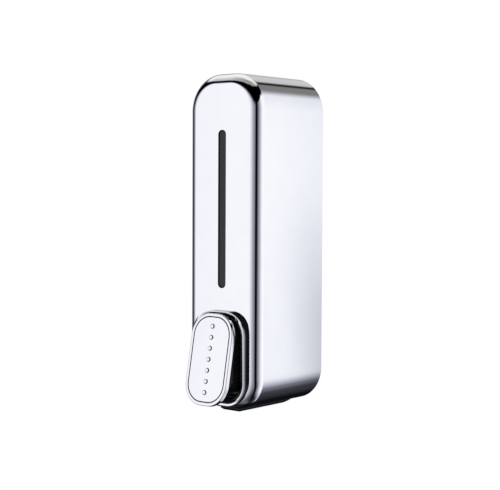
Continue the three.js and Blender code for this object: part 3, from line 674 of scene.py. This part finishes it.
class DISPENSER_OT_cover(bpy.types.Operator):
    """Build the chromed cover with its rounded front edge, slot and button opening"""

    bl_idname = "dispenser.cover"
    bl_label = "Cover"

    face_margin = 0.4 * MM  # from the rounded edge in to the flat face's first ring
    rim_round = 0.35 * MM
    hole_margin = 0.3 * MM
    chamfer = 0.25 * MM  # round the slot
    opening_round = 0.2 * MM
    opening_lap = 1.8 * MM  # how far the collar's rim reaches over the opening
    notch_gap = 0.4 * MM  # round the spout
    overrun = 2 * MM

    def execute(self, context):
        shape = context.scene.dispenser_shape
        mesh = bmesh.new()
        size = (shape.width, shape.height, shape.corner, shape.foot_corner)
        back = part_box("front_cover")[1].y
        wall = shape.wall
        inner = shape.front_round + self.face_margin
        rings = ring_skin(mesh, size, filleted([
            (inner, FRONT, 0),
            (0.0, FRONT, shape.front_round),
            (0.0, back, self.rim_round),
            (wall, back, self.rim_round),
            (wall, FRONT + wall, shape.front_round - wall),
            (inner, FRONT + wall, 0),
        ], steps=16, lean=0.1 * MM), (0.0, 0.0), steps=40)
        holes = [self.slot(mesh, shape), self.opening(mesh, shape)]
        fill(mesh, rings[0], *[hole[0] for hole in holes])
        fill(mesh, rings[-1], *[hole[-1] for hole in holes])
        piece = object_from("cover", mesh)
        low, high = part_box("spout")
        gap, foot = self.notch_gap, -shape.height / 2
        cut(piece, block(
            "notch",
            (low.x - gap, low.y - gap, foot - self.overrun),
            (high.x + gap, back + self.overrun, foot + wall + self.overrun),
        ))
        piece.data.set_sharp_from_angle(angle=math.radians(SHARP_ANGLE))
        # Painted shade: the slot's chamfer and walls are painted black, for the shade round the lens
        bare(piece, lambda face: self.in_slot(shape, face.center))
        fit(piece, "cover", "chrome", "front_cover")
        return {"FINISHED"}

    def in_slot(self, shape, point):
        """Whether a point lies on the slot's chamfer or walls."""
        foot, top = slot_ends(shape)
        outer, inner = 0.002 * MM, 0.02 * MM
        return (
            FRONT + outer < point.y < FRONT + shape.wall - inner
            and abs(point.x) < shape.slot_width / 2 + self.chamfer
            and foot - self.chamfer < point.z < top + self.chamfer
        )

    def hole(self, mesh, size, middle, edge, wall):
        """The walls of an opening through the front, with a rounded outer edge."""
        line = filleted([
            (-edge - self.hole_margin, FRONT, 0),
            (0.0, FRONT, edge),
            (0.0, FRONT + wall, 0),
        ])
        return ring_skin(mesh, size, line, middle, steps=16)

    def slot(self, mesh, shape):
        """The slot that the soap level is read through."""
        foot, top = slot_ends(shape)
        size = (shape.slot_width, top - foot, shape.slot_corner)
        return self.hole(mesh, size, (0.0, (top + foot) / 2), self.chamfer, shape.wall)

    def opening(self, mesh, shape):
        """The opening that the collar's tube sits in."""
        tube = shape.collar_rim - self.opening_lap
        size = (
            shape.collar_width - 2 * tube,
            shape.collar_height - 2 * tube,
            shape.collar_corner - tube,
        )
        middle = (0.0, collar_place(shape))
        return self.hole(mesh, size, middle, self.opening_round, shape.wall)


class DISPENSER_OT_collar(bpy.types.Operator):
    """Build the chromed collar round the button"""

    bl_idname = "dispenser.collar"
    bl_label = "Collar"

    tube_wall = 1.5 * MM
    seat_share = 0.9  # of the cover's wall, where the tube is drawn in
    crown_sweep = math.radians(38)
    crown_steps = 7  # from the crown's edge to its middle
    back_round = 0.2 * MM
    settle_depth = 2 * MM  # over which a change of the rim fades out down the walls
    rake = math.tan(math.radians(20))  # of the rim's top, under the cap
    lip = 0.6 * MM  # of the rim's top that isn't raked
    # Heights past the start of the corners' arcs, between which the rim turns flat
    top_flat = (7.5 * MM, 12.5 * MM)
    foot_flat = (11.0 * MM, 14.0 * MM)
    # Where the painted shade starts on the walls, at the rim's top under the cap and at its foot
    chrome_wall = 0.2 * MM
    bare_top, bare_half_width = 8.5 * MM, 7.5 * MM
    bare_foot, foot_lip = 10.5 * MM, 1.2 * MM

    def execute(self, context):
        shape = context.scene.dispenser_shape
        mesh = bmesh.new()
        size = (shape.collar_width, shape.collar_height, shape.collar_corner)
        middle = (0.0, collar_place(shape))
        front = FRONT - shape.collar_proud
        back = FRONT + shape.collar_reach
        seat = FRONT + self.seat_share * shape.wall
        rim = shape.collar_rim
        tube = rim - self.tube_wall
        curve = rim / 2 / math.sin(self.crown_sweep)
        drop = curve * (1 - math.cos(self.crown_sweep))
        crown = []
        for step in range(1, 2 * self.crown_steps):
            angle = self.crown_sweep * (1 - step / self.crown_steps)
            across = rim / 2 + curve * math.sin(angle)
            crown.append((across, front + curve * (1 - math.cos(angle)), 0))
        line = filleted([
            (rim, (front + back) / 2, 0),
            (rim, front + drop, 0.12 * MM),
            *crown,
            (0.0, front + drop, 0.1 * MM),
            (0.0, seat, 0),
            (tube, seat, 0),
            (tube, back, self.back_round),
            (rim, back, self.back_round),
            (rim, (front + back) / 2, 0),
        ], steps=8, lean=0.05 * MM)
        straight = shape.collar_height / 2 - shape.collar_corner

        def form(point):
            """How flat the rim is at a point, and how far it slopes back there under the cap."""
            up = point.z - middle[1] - straight
            top = smooth(up, *self.top_flat)
            flat = max(top, smooth(-up - 2 * straight, *self.foot_flat))
            return flat, top * self.rake * max(0.0, inset_of(point, size, middle[1]) - self.lip)

        def settle(point):
            """The point moved to the rim's true form."""
            flat, fall = form(point)
            deep = point.y - front
            share = max(0.0, 1 - max(deep - drop, 0.0) / self.settle_depth)
            return point + Vector((0.0, (fall - flat * min(deep, drop)) * share, 0.0))

        def in_painted_shade(face):
            """Whether a face gets painted shade: black on the walls, under the cap and at the foot."""
            point = face.center
            flat, fall = form(point)
            up = point.z - middle[1] - straight
            inset = inset_of(point, size, middle[1])
            over, under = abs(point.x) < self.bare_half_width, -up - 2 * straight
            return (
                point.y > front + drop * (1 - flat) + fall + self.chrome_wall
                or up > self.bare_top and inset > self.lip and over
                or under > self.bare_foot and inset > self.foot_lip
            )

        rings = [ring_points(size, point.x, point.y, middle, 32) for point in line]
        rings = skin(mesh, [[settle(point) for point in ring] for ring in rings])
        bmesh.ops.remove_doubles(mesh, verts=[*rings[0], *rings[-1]], dist=0.001 * MM)
        piece = bare(object_from("collar", mesh), in_painted_shade)
        fit(piece, "cover", "chrome", "button_collar")
        return {"FINISHED"}


class DISPENSER_OT_button(bpy.types.Operator):
    """Build the button: its cap, inlaid plate, neck and rubber dome"""

    bl_idname = "dispenser.button"
    bl_label = "Button"

    lip_round = 0.12 * MM  # of the cap and the plate at the groove
    plate_gap = 0.3 * MM  # under the inlaid plate
    chrome_depth = 0.03 * MM  # how far the chrome goes down into the groove before the painted shade starts
    near = 0.01 * MM  # how far a face may lie past the recess's edge and still be in it
    # Round a dot, the inner and outer reach of the ring of painted shade at its foot
    dot_shade_ring = (-0.37 * MM, 0.1 * MM)
    pad_depth = 8 * MM  # from the pivot to the dome's base
    pad_radius = 4 * MM

    def execute(self, context):
        shape = context.scene.dispenser_shape
        self.cap(shape)
        self.plate(shape)
        self.neck(shape)
        self.dome(shape)
        self.pin(shape)
        return {"FINISHED"}

    def middle(self, shape):
        """The middle of the cap, from the pivot."""
        return (0.0, shape.cap_rise - shape.cap_height / 2)

    def rod_drop(self, shape):
        """How far the pump rod's axis lies below the pivot."""
        low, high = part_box("plunger_rod")
        return pivot_place(shape).z - (low.z + high.z) / 2

    def cap(self, shape):
        """The chromed slab with the recess for the plate."""
        mesh = bmesh.new()
        size = (shape.cap_width, shape.cap_height, shape.cap_corner)
        back = -cap_distance(shape)
        front = back - shape.cap_thickness
        floor = front + shape.plate_depth + self.plate_gap
        edge, border = shape.cap_edge, shape.cap_border
        rings = ring_skin(mesh, size, filleted([
            (2 * MM, back, 0),
            (0.0, back, edge),
            (0.0, front, edge),
            (border, front, self.lip_round),
            (border, floor, 0),
        ], steps=8, lean=LEAN), self.middle(shape), steps=32)
        close_ends(mesh, rings)
        middle = self.middle(shape)[1]
        half_width, half_height = shape.cap_width / 2 - border, shape.cap_height / 2 - border
        back_skin = 0.05 * MM
        # Painted shade: the cap's back and the groove's walls and floor round the plate are painted black
        piece = bare(object_from("cap", mesh), lambda face: (
            face.center.y > back - back_skin
            or face.center.y > front + self.chrome_depth
            and abs(face.center.x) < half_width + self.near
            and abs(face.center.z - middle) < half_height + self.near
            and inset_of(face.center, size, middle) >= border / 2
        ))
        tilted(shape, piece)
        fit(piece, "button", "chrome", "button_cap")

    def plate(self, shape):
        """The inlaid chromed plate with its row of dots."""
        mesh = bmesh.new()
        inset = shape.cap_border + shape.groove
        size = (shape.cap_width - 2 * inset, shape.cap_height - 2 * inset, shape.cap_corner - inset)
        front = -cap_distance(shape) - shape.cap_thickness
        rings = ring_skin(mesh, size, filleted([
            (0.5 * MM, front, 0),
            (0.0, front, self.lip_round),
            (0.0, front + shape.plate_depth, 0),
        ]), self.middle(shape), steps=32)
        dots = [self.dot(mesh, shape, front, index) for index in range(shape.dots)]
        fill(mesh, rings[0], *dots)
        fill(mesh, rings[-1])
        middle = self.middle(shape)[1]

        def ringed(point):
            """Whether a point lies at the foot of a dot."""
            row = (point.z - middle) / shape.dot_pitch + (shape.dots - 1) / 2
            nearest = min(max(round(row), 0), shape.dots - 1)
            reach = math.hypot(point.x, (row - nearest) * shape.dot_pitch) - shape.dot_radius
            return self.dot_shade_ring[0] < reach < self.dot_shade_ring[1]

        # Painted shade: the plate's sides and a ring at each dot's foot are painted black
        piece = bare(object_from("plate", mesh), lambda face: (
            face.center.y > front + self.chrome_depth or ringed(face.center)
        ))
        tilted(shape, piece)
        fit(piece, "button", "chrome", "button_plate")

    def dot(self, mesh, shape, front, index):
        """A low round dot with a flat top and a rounded shoulder. It returns its outermost ring."""
        radius, height = shape.dot_radius, shape.dot_height
        margin, foot_round, shoulder, least = 0.3 * MM, 0.06 * MM, 0.8 * height, 0.02 * MM
        line = filleted([
            (radius + margin, front, 0),
            (radius, front, foot_round),
            (radius, front - height, shoulder),
            (0.0, front - height, 0),
        ], steps=8, lean=0.005 * MM)
        z = self.middle(shape)[1] + (index - (shape.dots - 1) / 2) * shape.dot_pitch
        rings = skin(mesh, [
            turned_points(max(point.x, least), point.y, (0.0, 0.0, z), "Y", segments=40)
            for point in line
        ])
        fill(mesh, rings[-1])
        return rings[0]

    def neck(self, shape):
        """The black moulding behind the cap, with its pocket and the boss for the dome."""
        mesh = bmesh.new()
        side_gap, end_gap, top, back = 3 * MM, 4 * MM, 2.6 * MM, 3 * MM
        wall, bridge, edge = 2.2 * MM, 6 * MM, 0.4 * MM
        gap = shape.collar_rim + side_gap
        foot = shape.pivot_drop - shape.collar_height + shape.collar_rim + end_gap
        size = (shape.collar_width - 2 * gap, top - foot, shape.collar_corner - gap)
        front = -cap_distance(shape) + shape.clearance
        rings = ring_skin(mesh, size, filleted([
            (2 * MM, front, 0),
            (0.0, front, edge),
            (0.0, back, edge),
            (1.0 * MM, back, 0),
        ], steps=6, lean=LEAN), (0.0, (top + foot) / 2), steps=24)
        fill(mesh, rings[0])
        pocket_height = -foot - bridge - wall
        pocket = (size[0] - 2 * wall, pocket_height, size[2] - wall)
        inner = ring_skin(mesh, pocket, filleted([
            (0.0, back, 0),
            (0.0, front + wall, 0.5 * MM),
            (1.5 * MM, front + wall, 0),
        ], lean=LEAN), (0.0, -bridge - pocket_height / 2), steps=16)
        fill(mesh, rings[-1], inner[0])
        fill(mesh, inner[-1])
        root, boss, nub, boss_round = front + 0.5 * MM, 4.5 * MM, 3.0 * MM, 0.3 * MM
        tip, tip_round = 7.7 * MM, 0.2 * MM
        turned(mesh, filleted([
            (0.0, root, 0),
            (boss, root, 0),
            (boss, back, boss_round),
            (nub, back, boss_round),
            (nub, tip, tip_round),
            (0.0, tip, 0),
        ]), (0.0, 0.0, -self.rod_drop(shape)), "Y", segments=48)
        piece = tilted(shape, object_from("neck", mesh))
        fit(piece, "button", "black_plastic", "button_neck")

    def dome(self, shape):
        """The rubber dome that pushes the pump's rod."""
        mesh = bmesh.new()
        radius, brim, steps = self.pad_radius, 0.15 * MM, 12
        line = [Vector((0.0, 0.0)), Vector((radius - 0.3 * MM, 0.0))]
        for step in range(steps + 1):
            angle = step / steps * math.pi / 2
            along = brim + (radius - brim) * math.sin(angle)
            line.append(Vector((radius * math.cos(angle), along)))
        centre = (0.0, self.pad_depth, -self.rod_drop(shape))
        turned(mesh, line, centre, "Y", segments=48)
        piece = tilted(shape, object_from("dome", mesh))
        fit(piece, "button", "black_rubber", "button_pad")

    def pin(self, shape):
        """The steel pin that the button tilts on."""
        low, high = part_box("button_pivot_pin")
        mesh = bmesh.new()
        radius, edge = (high.z - low.z) / 2, 0.25 * MM
        turned(mesh, filleted([
            (0.0, low.x, 0),
            (radius, low.x, edge),
            (radius, high.x, edge),
            (0.0, high.x, 0),
        ]), (0.0, *pivot_place(shape).yz), "X", segments=48)
        piece = object_from("pivot_pin", mesh)
        fit(piece, "cover", "steel", "button_pivot_pin")


class DISPENSER_OT_window(bpy.types.Operator):
    """Build the smoked lens behind the slot and the frame that holds it"""

    bl_idname = "dispenser.window"
    bl_label = "Window"

    def execute(self, context):
        shape = context.scene.dispenser_shape
        low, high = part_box("window_lens")
        mesh = bmesh.new()
        gap, margin, front_round, back_round = 0.3 * MM, 0.6 * MM, 0.25 * MM, 0.3 * MM
        foot, top = slot_ends(shape)
        land = (shape.slot_width - 2 * gap, top - foot - 2 * gap, shape.slot_corner - gap)
        flange = FRONT + shape.wall + gap
        lap = (high.x - low.x - land[0]) / 2
        rings = ring_skin(mesh, land, filleted([
            (margin, low.y, 0),
            (0.0, low.y, front_round),
            (0.0, flange, 0),
            (-lap, flange, 0),
            (-lap, high.y, back_round),
            (margin, high.y, 0),
        ]), (0.0, (top + foot) / 2), steps=16)
        close_ends(mesh, rings)
        fit(object_from("lens", mesh), "cover", "smoked_plastic", "window_lens")
        frame_piece = refined("lens_frame", "window_retainer", 0.25 * MM)
        fit(frame_piece, "cover", "black_plastic", "window_retainer")
        return {"FINISHED"}


class DISPENSER_OT_inside(bpy.types.Operator):
    """Refine the bracket, chassis, tank, pump, spout, catches and fasteners"""

    bl_idname = "dispenser.inside"
    bl_label = "Inside"

    # How far each piece's edges are rounded, in millimetres
    edges = {
        "wall_bracket": 0.3,
        "chassis": 0.35,
        "soap_tank": 0.3,
        "filler_gasket": 0.2,
        "filler_cap": 0.25,
        "pump_body": 0.25,
        "pump_gland": 0.2,
        "plunger_rod": 0.2,
        "piston": 0.15,
        "piston_seal": 0.15,
        "tank_seal": 0.25,
        "pump_screw_left": 0.12,
        "pump_screw_right": 0.12,
        "spout": 0.6,
        "nozzle_tip": 0.15,
        "spout_screw_left": 0.12,
        "spout_screw_right": 0.12,
        "cover_catch_left": 0.1,
        "cover_catch_right": 0.1,
    }
    # Each spring's joint, axis and thickness of wire
    springs = {
        "return_spring": ("plunger_slide", "Y", 1.0 * MM),
        "inlet_spring": ("inlet_ball_drop", "Z", 0.5 * MM),
        "outlet_spring": ("outlet_ball_drop", "Z", 0.5 * MM),
    }

    def execute(self, context):
        for node, edge in self.edges.items():
            piece = refined(node + "_finished", node, edge * MM)
            fit(piece, body_of(node), slot_of(node), node)
        for node in ("inlet_ball", "outlet_ball"):
            self.ball(node)
        for node, (joint, axis, wire) in self.springs.items():
            self.coil(node, joint, axis, wire)
        return {"FINISHED"}

    def ball(self, node):
        """A smooth ball in the place of a CAD ball."""
        low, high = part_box(node)
        mesh = bmesh.new()
        bmesh.ops.create_icosphere(mesh, subdivisions=4, radius=(high.z - low.z) / 2)
        bmesh.ops.translate(mesh, verts=mesh.verts, vec=(low + high) / 2)
        fit(object_from(node + "_finished", mesh), body_of(node), slot_of(node), node)

    def coil(self, node, joint, axis, wire):
        """A compression spring of evenly wound wire, in the place of a CAD spring, with a mesh of its own."""
        low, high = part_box(node)
        middle = (low + high) / 2
        length = high.y - low.y if axis == "Y" else high.z - low.z
        radius = (high.x - low.x) / 2 - wire / 2
        turns, steps, sides = 5.0, 28, 12
        rise = length - wire
        mesh = bmesh.new()
        rings = []
        count = int(turns * steps)
        for index in range(count + 1):
            share = index / count
            angle = share * turns * 2 * math.pi
            out = Vector((math.cos(angle), math.sin(angle), 0.0))
            centre = out * radius + Vector((0.0, 0.0, wire / 2 + share * rise))
            ring = []
            for side in range(sides):
                turn = side / sides * 2 * math.pi
                spoke = math.cos(turn) * out + Vector((0.0, 0.0, math.sin(turn)))
                ring.append(centre + wire / 2 * spoke)
            rings.append(ring)
        close_ends(mesh, skin(mesh, rings))
        if axis == "Y":
            anchor, along = (middle.x, high.y, middle.z), (0.0, 1.0, 0.0)
            place = Matrix.Translation(anchor) @ Matrix.Rotation(math.pi / 2, 4, "X")
        else:
            anchor, along = (middle.x, middle.y, low.z), (0.0, 0.0, 1.0)
            place = Matrix.Translation(anchor)
        mesh.transform(place)
        piece = object_from(node + "_finished", mesh, sharp_angle=80.0)
        fit(piece, body_of(node), slot_of(node), node)
        travel = next(entry for entry in frame["joints"] if entry["name"] == joint)["range_m"][1]
        (length - travel) / length
        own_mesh(piece)


# The studio that the chrome mirrors: a dark far left, a bright panel at the front left that
# falls off past the front, a black flag at the front right, and a bright panel at the right.
# Each table holds pairs of a compass direction in degrees (0 is the front, +90 the right
# as seen from the front) and a grey or a height in degrees. The values were fitted by
# comparing renders with the photograph.
PANELS = (
    (-180, 0.45), (-120, 0.30), (-95, 0.04), (-78, 0.04), (-62, 0.25), (-47, 0.84),
    (-41, 0.95), (-25, 0.87), (5, 0.40), (27, 0.18), (32, 0.003), (48, 0.003), (62, 0.25),
    (75, 0.42), (100, 0.92), (110, 0.98), (180, 0.98),
)
PANEL_TOPS = (
    (-180, 40), (-100, 40), (-92, 8), (-60, 17), (-40, 18), (-20, 26), (0, 26), (20, 20),
    (60, 22), (105, 41), (180, 43),
)
PANEL_FADES = (
    (-180, 3), (-100, 4), (-60, 10), (-40, 8), (-20, 17), (10, 14), (65, 4), (100, 6), (180, 16),
)
CEILING_FEET = (
    (-180, 41), (-100, 30), (-45, 28), (-20, 48), (20, 62), (100, 65), (150, 54), (180, 42),
)
CEILING = ((-180, 0.85), (-90, 0.90), (-45, 0.42), (-20, 0.31), (100, 0.30), (180, 0.85))
# Behind the dispenser the angle runs round the Y axis: 0 is the right and 90 overhead. A
# large soft panel stands at the right, with a black flag just past overhead. Fitted too.
BACKDROP = (
    (-180, 0.30), (-150, 0.005), (-112, 0.005), (-90, 0.03), (-72, 0.05), (-54, 0.19),
    (-26, 0.84), (0, 0.97), (50, 0.83), (66, 0.26), (72, 0.20), (87, 0.20), (94, 0.008),
    (98, 0.008), (107, 0.55), (130, 0.60), (180, 0.30),
)
# Greys and the colours that stand for them: faintly blue at the sides, plain overhead.
SIDE_TINTS = (
    (0.0, (0.0, 0.0, 0.0)), (0.2, (0.185, 0.195, 0.235)), (0.5, (0.485, 0.50, 0.57)),
    (0.9, (0.885, 0.90, 0.955)), (1.0, (0.985, 0.99, 1.0)),
)
TOP_TINTS = ((0.0, (0.0, 0.0, 0.0)), (0.5, (0.505, 0.498, 0.50)), (1.0, (1.0, 0.995, 0.99)))


class DISPENSER_OT_studio(bpy.types.Operator):
    """Set up the camera, the lamp, the floor and the surroundings"""

    bl_idname = "dispenser.studio"
    bl_label = "Studio"

    floor_radius = 0.95
    floor_fade = (0.3, 0.93)  # where the floor starts and ends to fade out
    floor_glow = 0.7  # how far the camera sees the floor as plain white
    paper = (0.88, 0.88, 0.88, 1.0)
    lamp_size = 0.9
    lamp_place = Vector((-0.7, -0.9, 0.9))

    def execute(self, context):
        studio = context.scene.dispenser_studio
        self.camera(context, studio)
        self.floor(studio)
        self.lamp(context, studio)
        self.world(context, studio)
        context.scene.view_settings.view_transform = "Standard"
        return {"FINISHED"}

    def camera(self, context, studio):
        """The camera at the photograph's angle."""
        ahead = Vector((
            -math.sin(studio.turn) * math.cos(studio.dip),
            math.cos(studio.turn) * math.cos(studio.dip),
            -math.sin(studio.dip),
        ))
        right = Vector((math.cos(studio.turn), math.sin(studio.turn), 0.0))
        level = Matrix((right, right.cross(ahead), -ahead)).transposed().to_4x4()
        data = bpy.data.cameras.new("camera")
        data.sensor_width = 36.0
        data.lens = studio.lens
        data.clip_start = 0.01
        camera = bpy.data.objects.new("camera", data)
        roll = Matrix.Rotation(studio.roll, 4, "Z")
        camera.matrix_world = Matrix.Translation(studio.eye) @ level @ roll
        context.scene.collection.objects.link(camera)
        context.scene.camera = camera

    def floor(self, studio):
        """A round of pale paper that fades out towards its edge."""
        mesh = bmesh.new()
        bmesh.ops.create_circle(mesh, cap_ends=True, segments=96, radius=self.floor_radius)
        bmesh.ops.translate(mesh, verts=mesh.verts, vec=(0.0, 0.0, studio.floor))
        floor = object_from("floor", mesh)
        material, graph = surface("floor_paper")
        seen = graph.add("LightPath", output="Is Camera Ray")
        paper = graph.add("BsdfDiffuse", None, {"Color": self.paper})
        white = graph.glow("Emission", WHITE, 1.0)
        clear = graph.add("BsdfTransparent")
        both = graph.join(seen * self.floor_glow, paper, white)
        flat = graph.place((1.0, 1.0, 0.0))
        measure = {"operation": "LENGTH"}
        reach = graph.add("VectorMath", measure, {0: flat}, output="Value")
        faded = graph.join(graph.step(reach, *self.floor_fade), both, clear)
        graph.add("OutputMaterial", None, {"Surface": faded})
        floor.data.materials.append(material)
        floor.visible_glossy = False

    def lamp(self, context, studio):
        """One large soft lamp that the chrome doesn't mirror."""
        data = bpy.data.lights.new("key", "AREA")
        data.shape = "RECTANGLE"
        data.size = data.size_y = self.lamp_size
        data.energy = studio.key
        key = bpy.data.objects.new("key", data)
        key.location = self.lamp_place
        key.rotation_euler = (-self.lamp_place).to_track_quat("-Z", "Y").to_euler()
        key.visible_glossy = False
        context.scene.collection.objects.link(key)

    def world(self, context, studio):
        """Plain light from all round, white for the camera, and a studio for the mirrors."""
        world = bpy.data.worlds.new("studio")
        context.scene.world = world
        world.cycles.sampling_method = "NONE"
        graph = Graph(world)
        mirrored = graph.glow("Background", self.surround(graph), studio.mirror)
        ambient = graph.glow("Background", WHITE, studio.ambient)
        white = graph.glow("Background", WHITE, 1.0)
        glossy, camera, through = (
            graph.add("LightPath", output="Is " + kind + " Ray")
            for kind in ("Glossy", "Camera", "Transmission")
        )
        lit = graph.join(glossy, ambient, mirrored)
        seen = graph.join(camera.maths("MAXIMUM", through), lit, white)
        graph.add("OutputWorld", None, {"Surface": seen})

    def surround(self, graph):
        """The colour of the studio in each direction: panels, a ceiling and the backdrop."""
        direction = graph.add("TexCoord", output="Generated")
        x, y, z = (graph.add("SeparateXYZ", None, {0: direction}, output=axis) for axis in "XYZ")
        in_degrees = 180 / math.pi
        compass = x.maths("ARCTAN2", -y) * in_degrees
        height = z.maths("ARCSINE") * in_degrees
        round_y = z.maths("ARCTAN2", x) * in_degrees
        walls = self.walls(graph, compass, height)
        # Straight behind, the backdrop's right half is a little darker, and low down much more
        drop = (0.08 + 0.4 * graph.step(round_y, 2.0, -16.0)) * graph.step(y, 0.772, 0.803)
        drop = drop * graph.step(round_y, 90.0, 60.0) * graph.step(round_y, -90.0, -70.0)
        backdrop = graph.chart(round_y, BACKDROP) * (1 - drop)
        grey = graph.blend(graph.step(y, 0.60, 0.72), walls, backdrop)
        sides = graph.add("ValToRGB", {"stops": SIDE_TINTS}, {"Fac": grey})
        above = graph.add("ValToRGB", {"stops": TOP_TINTS}, {"Fac": grey})
        behind = graph.step(y, 0.6, 0.7) * graph.step(round_y, 55.0, 68.0)
        plain = graph.step(height, 32.0, 42.0).maths("MAXIMUM", behind)
        return graph.mix(plain, sides, above)

    def walls(self, graph, compass, height):
        """The grey of the panels round the dispenser and of the ceiling over them."""
        top = graph.chart(compass, PANEL_TOPS, full=90)
        fade = graph.chart(compass, PANEL_FADES, full=90)
        foot = graph.chart(compass, CEILING_FEET, full=90)
        # The panels darken towards the floor: soonest at the back left, latest at the right
        front_foot = 1 - 0.86 * graph.step(height, -8.0, -60.0)
        side_foot = 1 - 0.97 * graph.step(height, -38.0, -70.0)
        low = graph.blend(graph.step(compass, 40.0, 60.0), front_foot, side_foot)
        left_foot = 1 - 0.95 * graph.step(compass, -95.0, -110.0) * graph.step(height, -12.0, -30.0)
        # Low down they lie 12 degrees further to the right
        lean = compass - 12.0 * graph.step(height, -10.0, -40.0)
        panels = graph.chart(lean, PANELS) * low * left_foot
        panels = panels * (1 - graph.step(height, top - fade, top + 1))
        ceiling = graph.chart(compass, CEILING)
        return graph.blend(graph.step(height, foot, foot + 7), panels, ceiling)


class DISPENSER_PT_panel(bpy.types.Panel):
    """The dispenser's pieces and sizes."""

    bl_idname = "DISPENSER_PT_panel"
    bl_label = "Soap dispenser"
    bl_space_type = "VIEW_3D"
    bl_region_type = "UI"
    bl_category = "Dispenser"

    def draw(self, context):
        """One button for each operator and a box for each group of settings."""
        for operator in OPERATORS:
            self.layout.operator(operator.bl_idname)
        for group in GROUPS:
            settings = getattr(context.scene, group)
            box = self.layout.box()
            for name in settings.bl_rna.properties.keys():
                if name not in ("rna_type", "name"):
                    box.prop(settings, name)


OPERATORS = (
    DISPENSER_OT_cover,
    DISPENSER_OT_collar,
    DISPENSER_OT_button,
    DISPENSER_OT_window,
    DISPENSER_OT_inside,
    DISPENSER_OT_studio,
)
GROUPS = {
    "dispenser_shape": DispenserShape,
    "dispenser_finish": DispenserFinish,
    "dispenser_studio": DispenserStudio,
}
KINDS = (*GROUPS.values(), *OPERATORS, DISPENSER_PT_panel)


def register():
    """Adds the settings, operators and panel."""
    for kind in KINDS:
        bpy.utils.register_class(kind)
    for name, group in GROUPS.items():
        setattr(bpy.types.Scene, name, PointerProperty(type=group))


def unregister():
    """Takes them away again."""
    for name in GROUPS:
        delattr(bpy.types.Scene, name)
    for kind in reversed(KINDS):
        bpy.utils.unregister_class(kind)


def main():
    """Builds the studio and every piece."""
    register()
    bpy.ops.dispenser.studio()
    bpy.ops.dispenser.cover()
    bpy.ops.dispenser.collar()
    bpy.ops.dispenser.button()
    bpy.ops.dispenser.window()
    bpy.ops.dispenser.inside()


if __name__ == "__main__":
    main()
